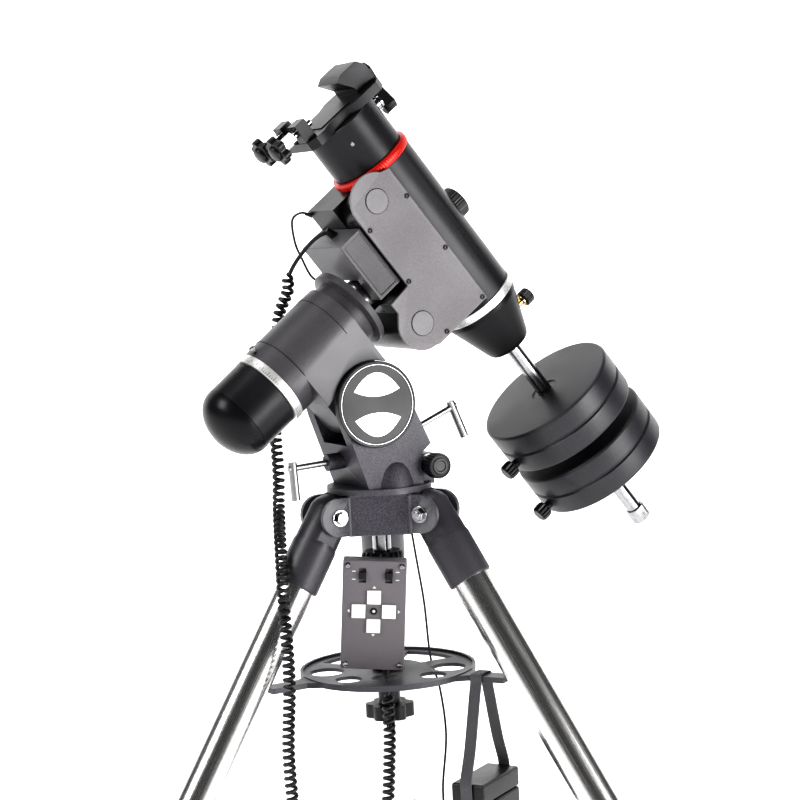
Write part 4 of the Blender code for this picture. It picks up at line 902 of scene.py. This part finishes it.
def head_clamp():
    """The clamp lever, a rounded bar that narrows to both ends, on a collar."""
    at = POLAR @ move(0.0395, 0.012, HEAD_MIDDLE) @ turn(pi / 2, "Y")
    outline = arc(0.0085, 270, 90, 16, (-0.0315, 0))[::-1] + arc(0.0085, 90, -90, 16, (0.0075, 0))
    outline = [(x, y * (1 - 0.18 * min(1.0, abs(x + 0.012) / 0.028))) for x, y in outline]
    piece("head_clamp_bar", plate(outline, 0.0125, 0.0245), PLASTIC, at, "head_clamp_knob",
          ["head_clamp_knob"], edge=0.0022)
    collar = [(0, 0), (0.0068, 0), (0.0072, 0.0006), (0.0072, 0.0095), (0.0085, 0.0100),
              (0.0085, 0.0126), (0, 0.0126)]
    piece("head_clamp_collar", lathe(collar, 64), CHROME, at, "head_clamp_knob", edge=0.0003)


# ---- Counterweights ----
def counterweights():
    """Two grooved discs, each with a fluted thumb screw in its edge."""
    bore = SHAFT_RADIUS + 0.0003
    for number, top in enumerate(WEIGHT_TOPS, 1):
        low, middle = top - WEIGHT_THICKNESS, top - WEIGHT_THICKNESS / 2
        edge = [(WEIGHT_RADIUS - 0.003 + 0.003 * sin(radians(a)), 0.003 - 0.003 * cos(radians(a)))
                for a in (0, 18, 36, 54, 72, 90)]
        profile = [(bore, top - 0.0010), (0.0145, top - 0.0010), (0.0155, top)]
        profile += [(radius, top - down) for radius, down in edge]
        profile += [(WEIGHT_RADIUS, middle + 0.0022), (WEIGHT_RADIUS - 0.0018, middle + 0.0006),
                    (WEIGHT_RADIUS - 0.0018, middle - 0.0006), (WEIGHT_RADIUS, middle - 0.0022)]
        profile += [(radius, low + down) for radius, down in reversed(edge)]
        profile += [(0.0155, low), (0.0145, low + 0.0010), (bore, low + 0.0010)]
        body = f"counterweight_{number}"
        piece(f"weight_{number}", lathe(profile, 160, True), WEIGHT_PAINT, POLAR, body, [body], edge=0)
        start = WEIGHT_RADIUS + 0.0003
        at = POLAR @ move(0, 0, top - WEIGHT_THICKNESS * 0.72) @ turn(-pi / 2, "Y")
        knob = [(0, start + 0.0170), (0.0066, start + 0.0170), (0.0086, start + 0.0152, 1),
                (0.0090, start + 0.0100, 1), (0.0086, start + 0.0052, 1), (0.0060, start + 0.0042),
                (0.0045, start + 0.0040), (0.0045, start), (0, start)]
        name = f"cw_knob_{number}"
        piece(f"weight_grip_{number}", lathe(knob, 144, False, 12, 0.0016), PLASTIC, at, name, [name],
              edge=0.0003)


def counterweight_shaft():
    """The bright bar and the knurled cap at its end."""
    end, low, rim, bore = -0.400, -0.4065, -0.3900, SHAFT_RADIUS + 0.0003
    shaft = [(0, -0.1203), (SHAFT_RADIUS, -0.1203), (SHAFT_RADIUS, end + 0.0006),
             (SHAFT_RADIUS - 0.0006, end), (0, end)]
    piece("weight_shaft", lathe(shaft, 64), CHROME, POLAR, "dec_housing", ["cw_shaft"], edge=0)
    cap = [(0, end - 0.0003), (bore, end - 0.0003), (bore, rim), (0.0096, rim),
           (0.0102, rim - 0.0008, 1), (0.0102, low + 0.0010, 1), (0.0094, low), (0, low)]
    piece("shaft_cap", lathe(cap, 144, False, 36, 0.0004), CHROME, POLAR, "cw_end_cap", ["cw_end_cap"],
          edge=0)


# ---- Hand controller ----
def handset_lamp(face):
    """The small lamp between the keys, in its bezel."""
    bezel = [(0.0017, 0.0002), (0.0019, 0.0010), (0.0032, 0.0010), (0.0036, 0.0002), (0.0036, -0.0002),
             (0.0017, -0.0002)]
    lamp = [(0, 0.0016), (0.0008, 0.0014), (0.0014, 0.0008), (0.0016, -0.0001), (0, -0.0001)]
    middle = move(0, KEYS_MIDDLE, 0)
    piece("handset_lamp_bezel", placed(lathe(bezel, 48, True), middle), PLASTIC, face, "tripod", edge=0)
    piece("handset_lamp", placed(lathe(lamp, 32), middle), WHITE, face, "tripod", edge=0)


def handset_marks(face):
    """Plain arrows round the keys, and two short bars beside each switch."""
    low, high = -0.0001, 0.00012
    arrow = [(-0.0019, 0), (0.0019, 0), (0, 0.0024)]
    places = ((0, 0.0268, 0), (0, -0.0188, 180), (-0.0238, KEYS_MIDDLE, 90), (0.0238, KEYS_MIDDLE, -90))
    marks = [placed(plate(arrow, low, high), move(x, y, 0) @ turn(radians(angle), "Z"))
             for x, y, angle in places]
    for x in (-0.0205, 0.0225):
        for y in (0.0355, 0.0435):
            marks.append(box((x - 0.0018, y - 0.0004, low), (x + 0.0018, y + 0.0004, high)))
    piece("handset_marks", merged(*marks), WHITE, face, "tripod", edge=0)


def handset_details():
    """The hand controller's screws, lamp and marks."""
    face = HANDSET @ move(0, HANDSET_FACE, 0) @ turn(pi / 2, "X")
    screws = [placed(socket_screw(0.0029), move(x, y, 0)) for x in (-0.0265, 0.0265)
              for y in (-0.0492, 0.0492)]
    piece("handset_screws", merged(*screws), CHROME, face, "tripod", edge=0)
    handset_lamp(face)
    handset_marks(face)


# ---- Stage ----
def sweep():
    """A pale floor that curves up into a bright backdrop."""
    half, front, back, radius, top = 10.0, -7.0, 4.0, 1.6, 8.0
    glow_from, glow_to, least, most = -1.5, 4.0, 0.60, 0.97
    line = [(front, 0.0)] + [(back + radius * sin(radians(a)), radius - radius * cos(radians(a)))
                             for a in range(0, 91, 6)] + [(back + radius, top)]
    work = bmesh.new()
    rows = [[work.verts.new((x, y, z - 0.0005)) for x in (-half, half)] for y, z in line]
    for low, high in zip(rows, rows[1:]):
        work.faces.new((low[0], low[1], high[1], high[0]))
    mesh = mesh_of(work)
    mesh.shade_smooth()
    finish = surface("floor", (0.86, 0.86, 0.86), (0.88, 0.88, 0.88), 0.8, 3, bump=0)
    tree = finish.node_tree
    apart = node(tree, "SeparateXYZ")
    glow = node(tree, "MapRange", From_Min=glow_from, From_Max=glow_to, To_Min=least, To_Max=most)
    shader = tree.nodes["Principled BSDF"]
    shader.inputs["Emission Color"].default_value = (1, 1, 1, 1)
    tree.links.new(node(tree, "TexCoord").outputs["Object"], apart.inputs["Vector"])
    tree.links.new(apart.outputs["Y"], glow.inputs["Value"])
    tree.links.new(glow.outputs["Result"], shader.inputs["Emission Strength"])
    mesh.materials.append(finish)
    floor = bpy.data.objects.new("floor", mesh)
    bpy.context.scene.collection.objects.link(floor)


def softbox(name, place, size, power):
    """A rectangular light turned to the middle of the mount."""
    target = (0, -0.1, 0.80)
    data = bpy.data.lights.new(name, "AREA")
    data.shape, data.size, data.size_y, data.energy = "RECTANGLE", size[0], size[1], power
    made = bpy.data.objects.new(name, data)
    bpy.context.scene.collection.objects.link(made)
    made.location = place
    made.rotation_euler = (Vector(target) - Vector(place)).to_track_quat("-Z", "Y").to_euler()


def studio():
    """Two large softboxes in front, one above and dim surroundings, so that black stays black."""
    world = bpy.data.worlds.new("studio")
    world.use_nodes = True
    background = world.node_tree.nodes["Background"]
    background.inputs["Color"].default_value = (1.0, 1.0, 1.0, 1.0)
    background.inputs["Strength"].default_value = 0.05
    bpy.context.scene.world = world
    bpy.context.scene.view_settings.view_transform = "Standard"
    bpy.context.scene.view_settings.look = "High Contrast"
    softbox("key_right", (2.35, -1.65, 0.85), (1.2, 1.4), 48)
    softbox("fill_left", (-2.1, -1.3, 2.3), (0.9, 1.5), 40)
    softbox("top", (-0.2, -0.1, 3.0), (1.4, 1.4), 16)


camera()
curly_cord()
leads()
reliefs()
kept_solids()
hub_ribs()
hinge_bolts()
legs()
centre_rod()
tray_knob()
webbing_strap()
battery_case()
azimuth_knobs()
altitude_disc()
polar_cap()
setting_circle("ra_circle", UP_POLAR, "ra_setting_circle", -0.2345, -0.2253, 0.0405, 96)
polar_details()
cover_details()
front_cap()
setting_circle("dec_circle", POLAR, "dec_setting_circle", -0.0940, -0.0853, 0.0435, 120)
dec_collar()
dec_clamp_knob()
dec_head()
saddle_details()
head_clamp()
counterweights()
counterweight_shaft()
handset_details()
sweep()
studio()
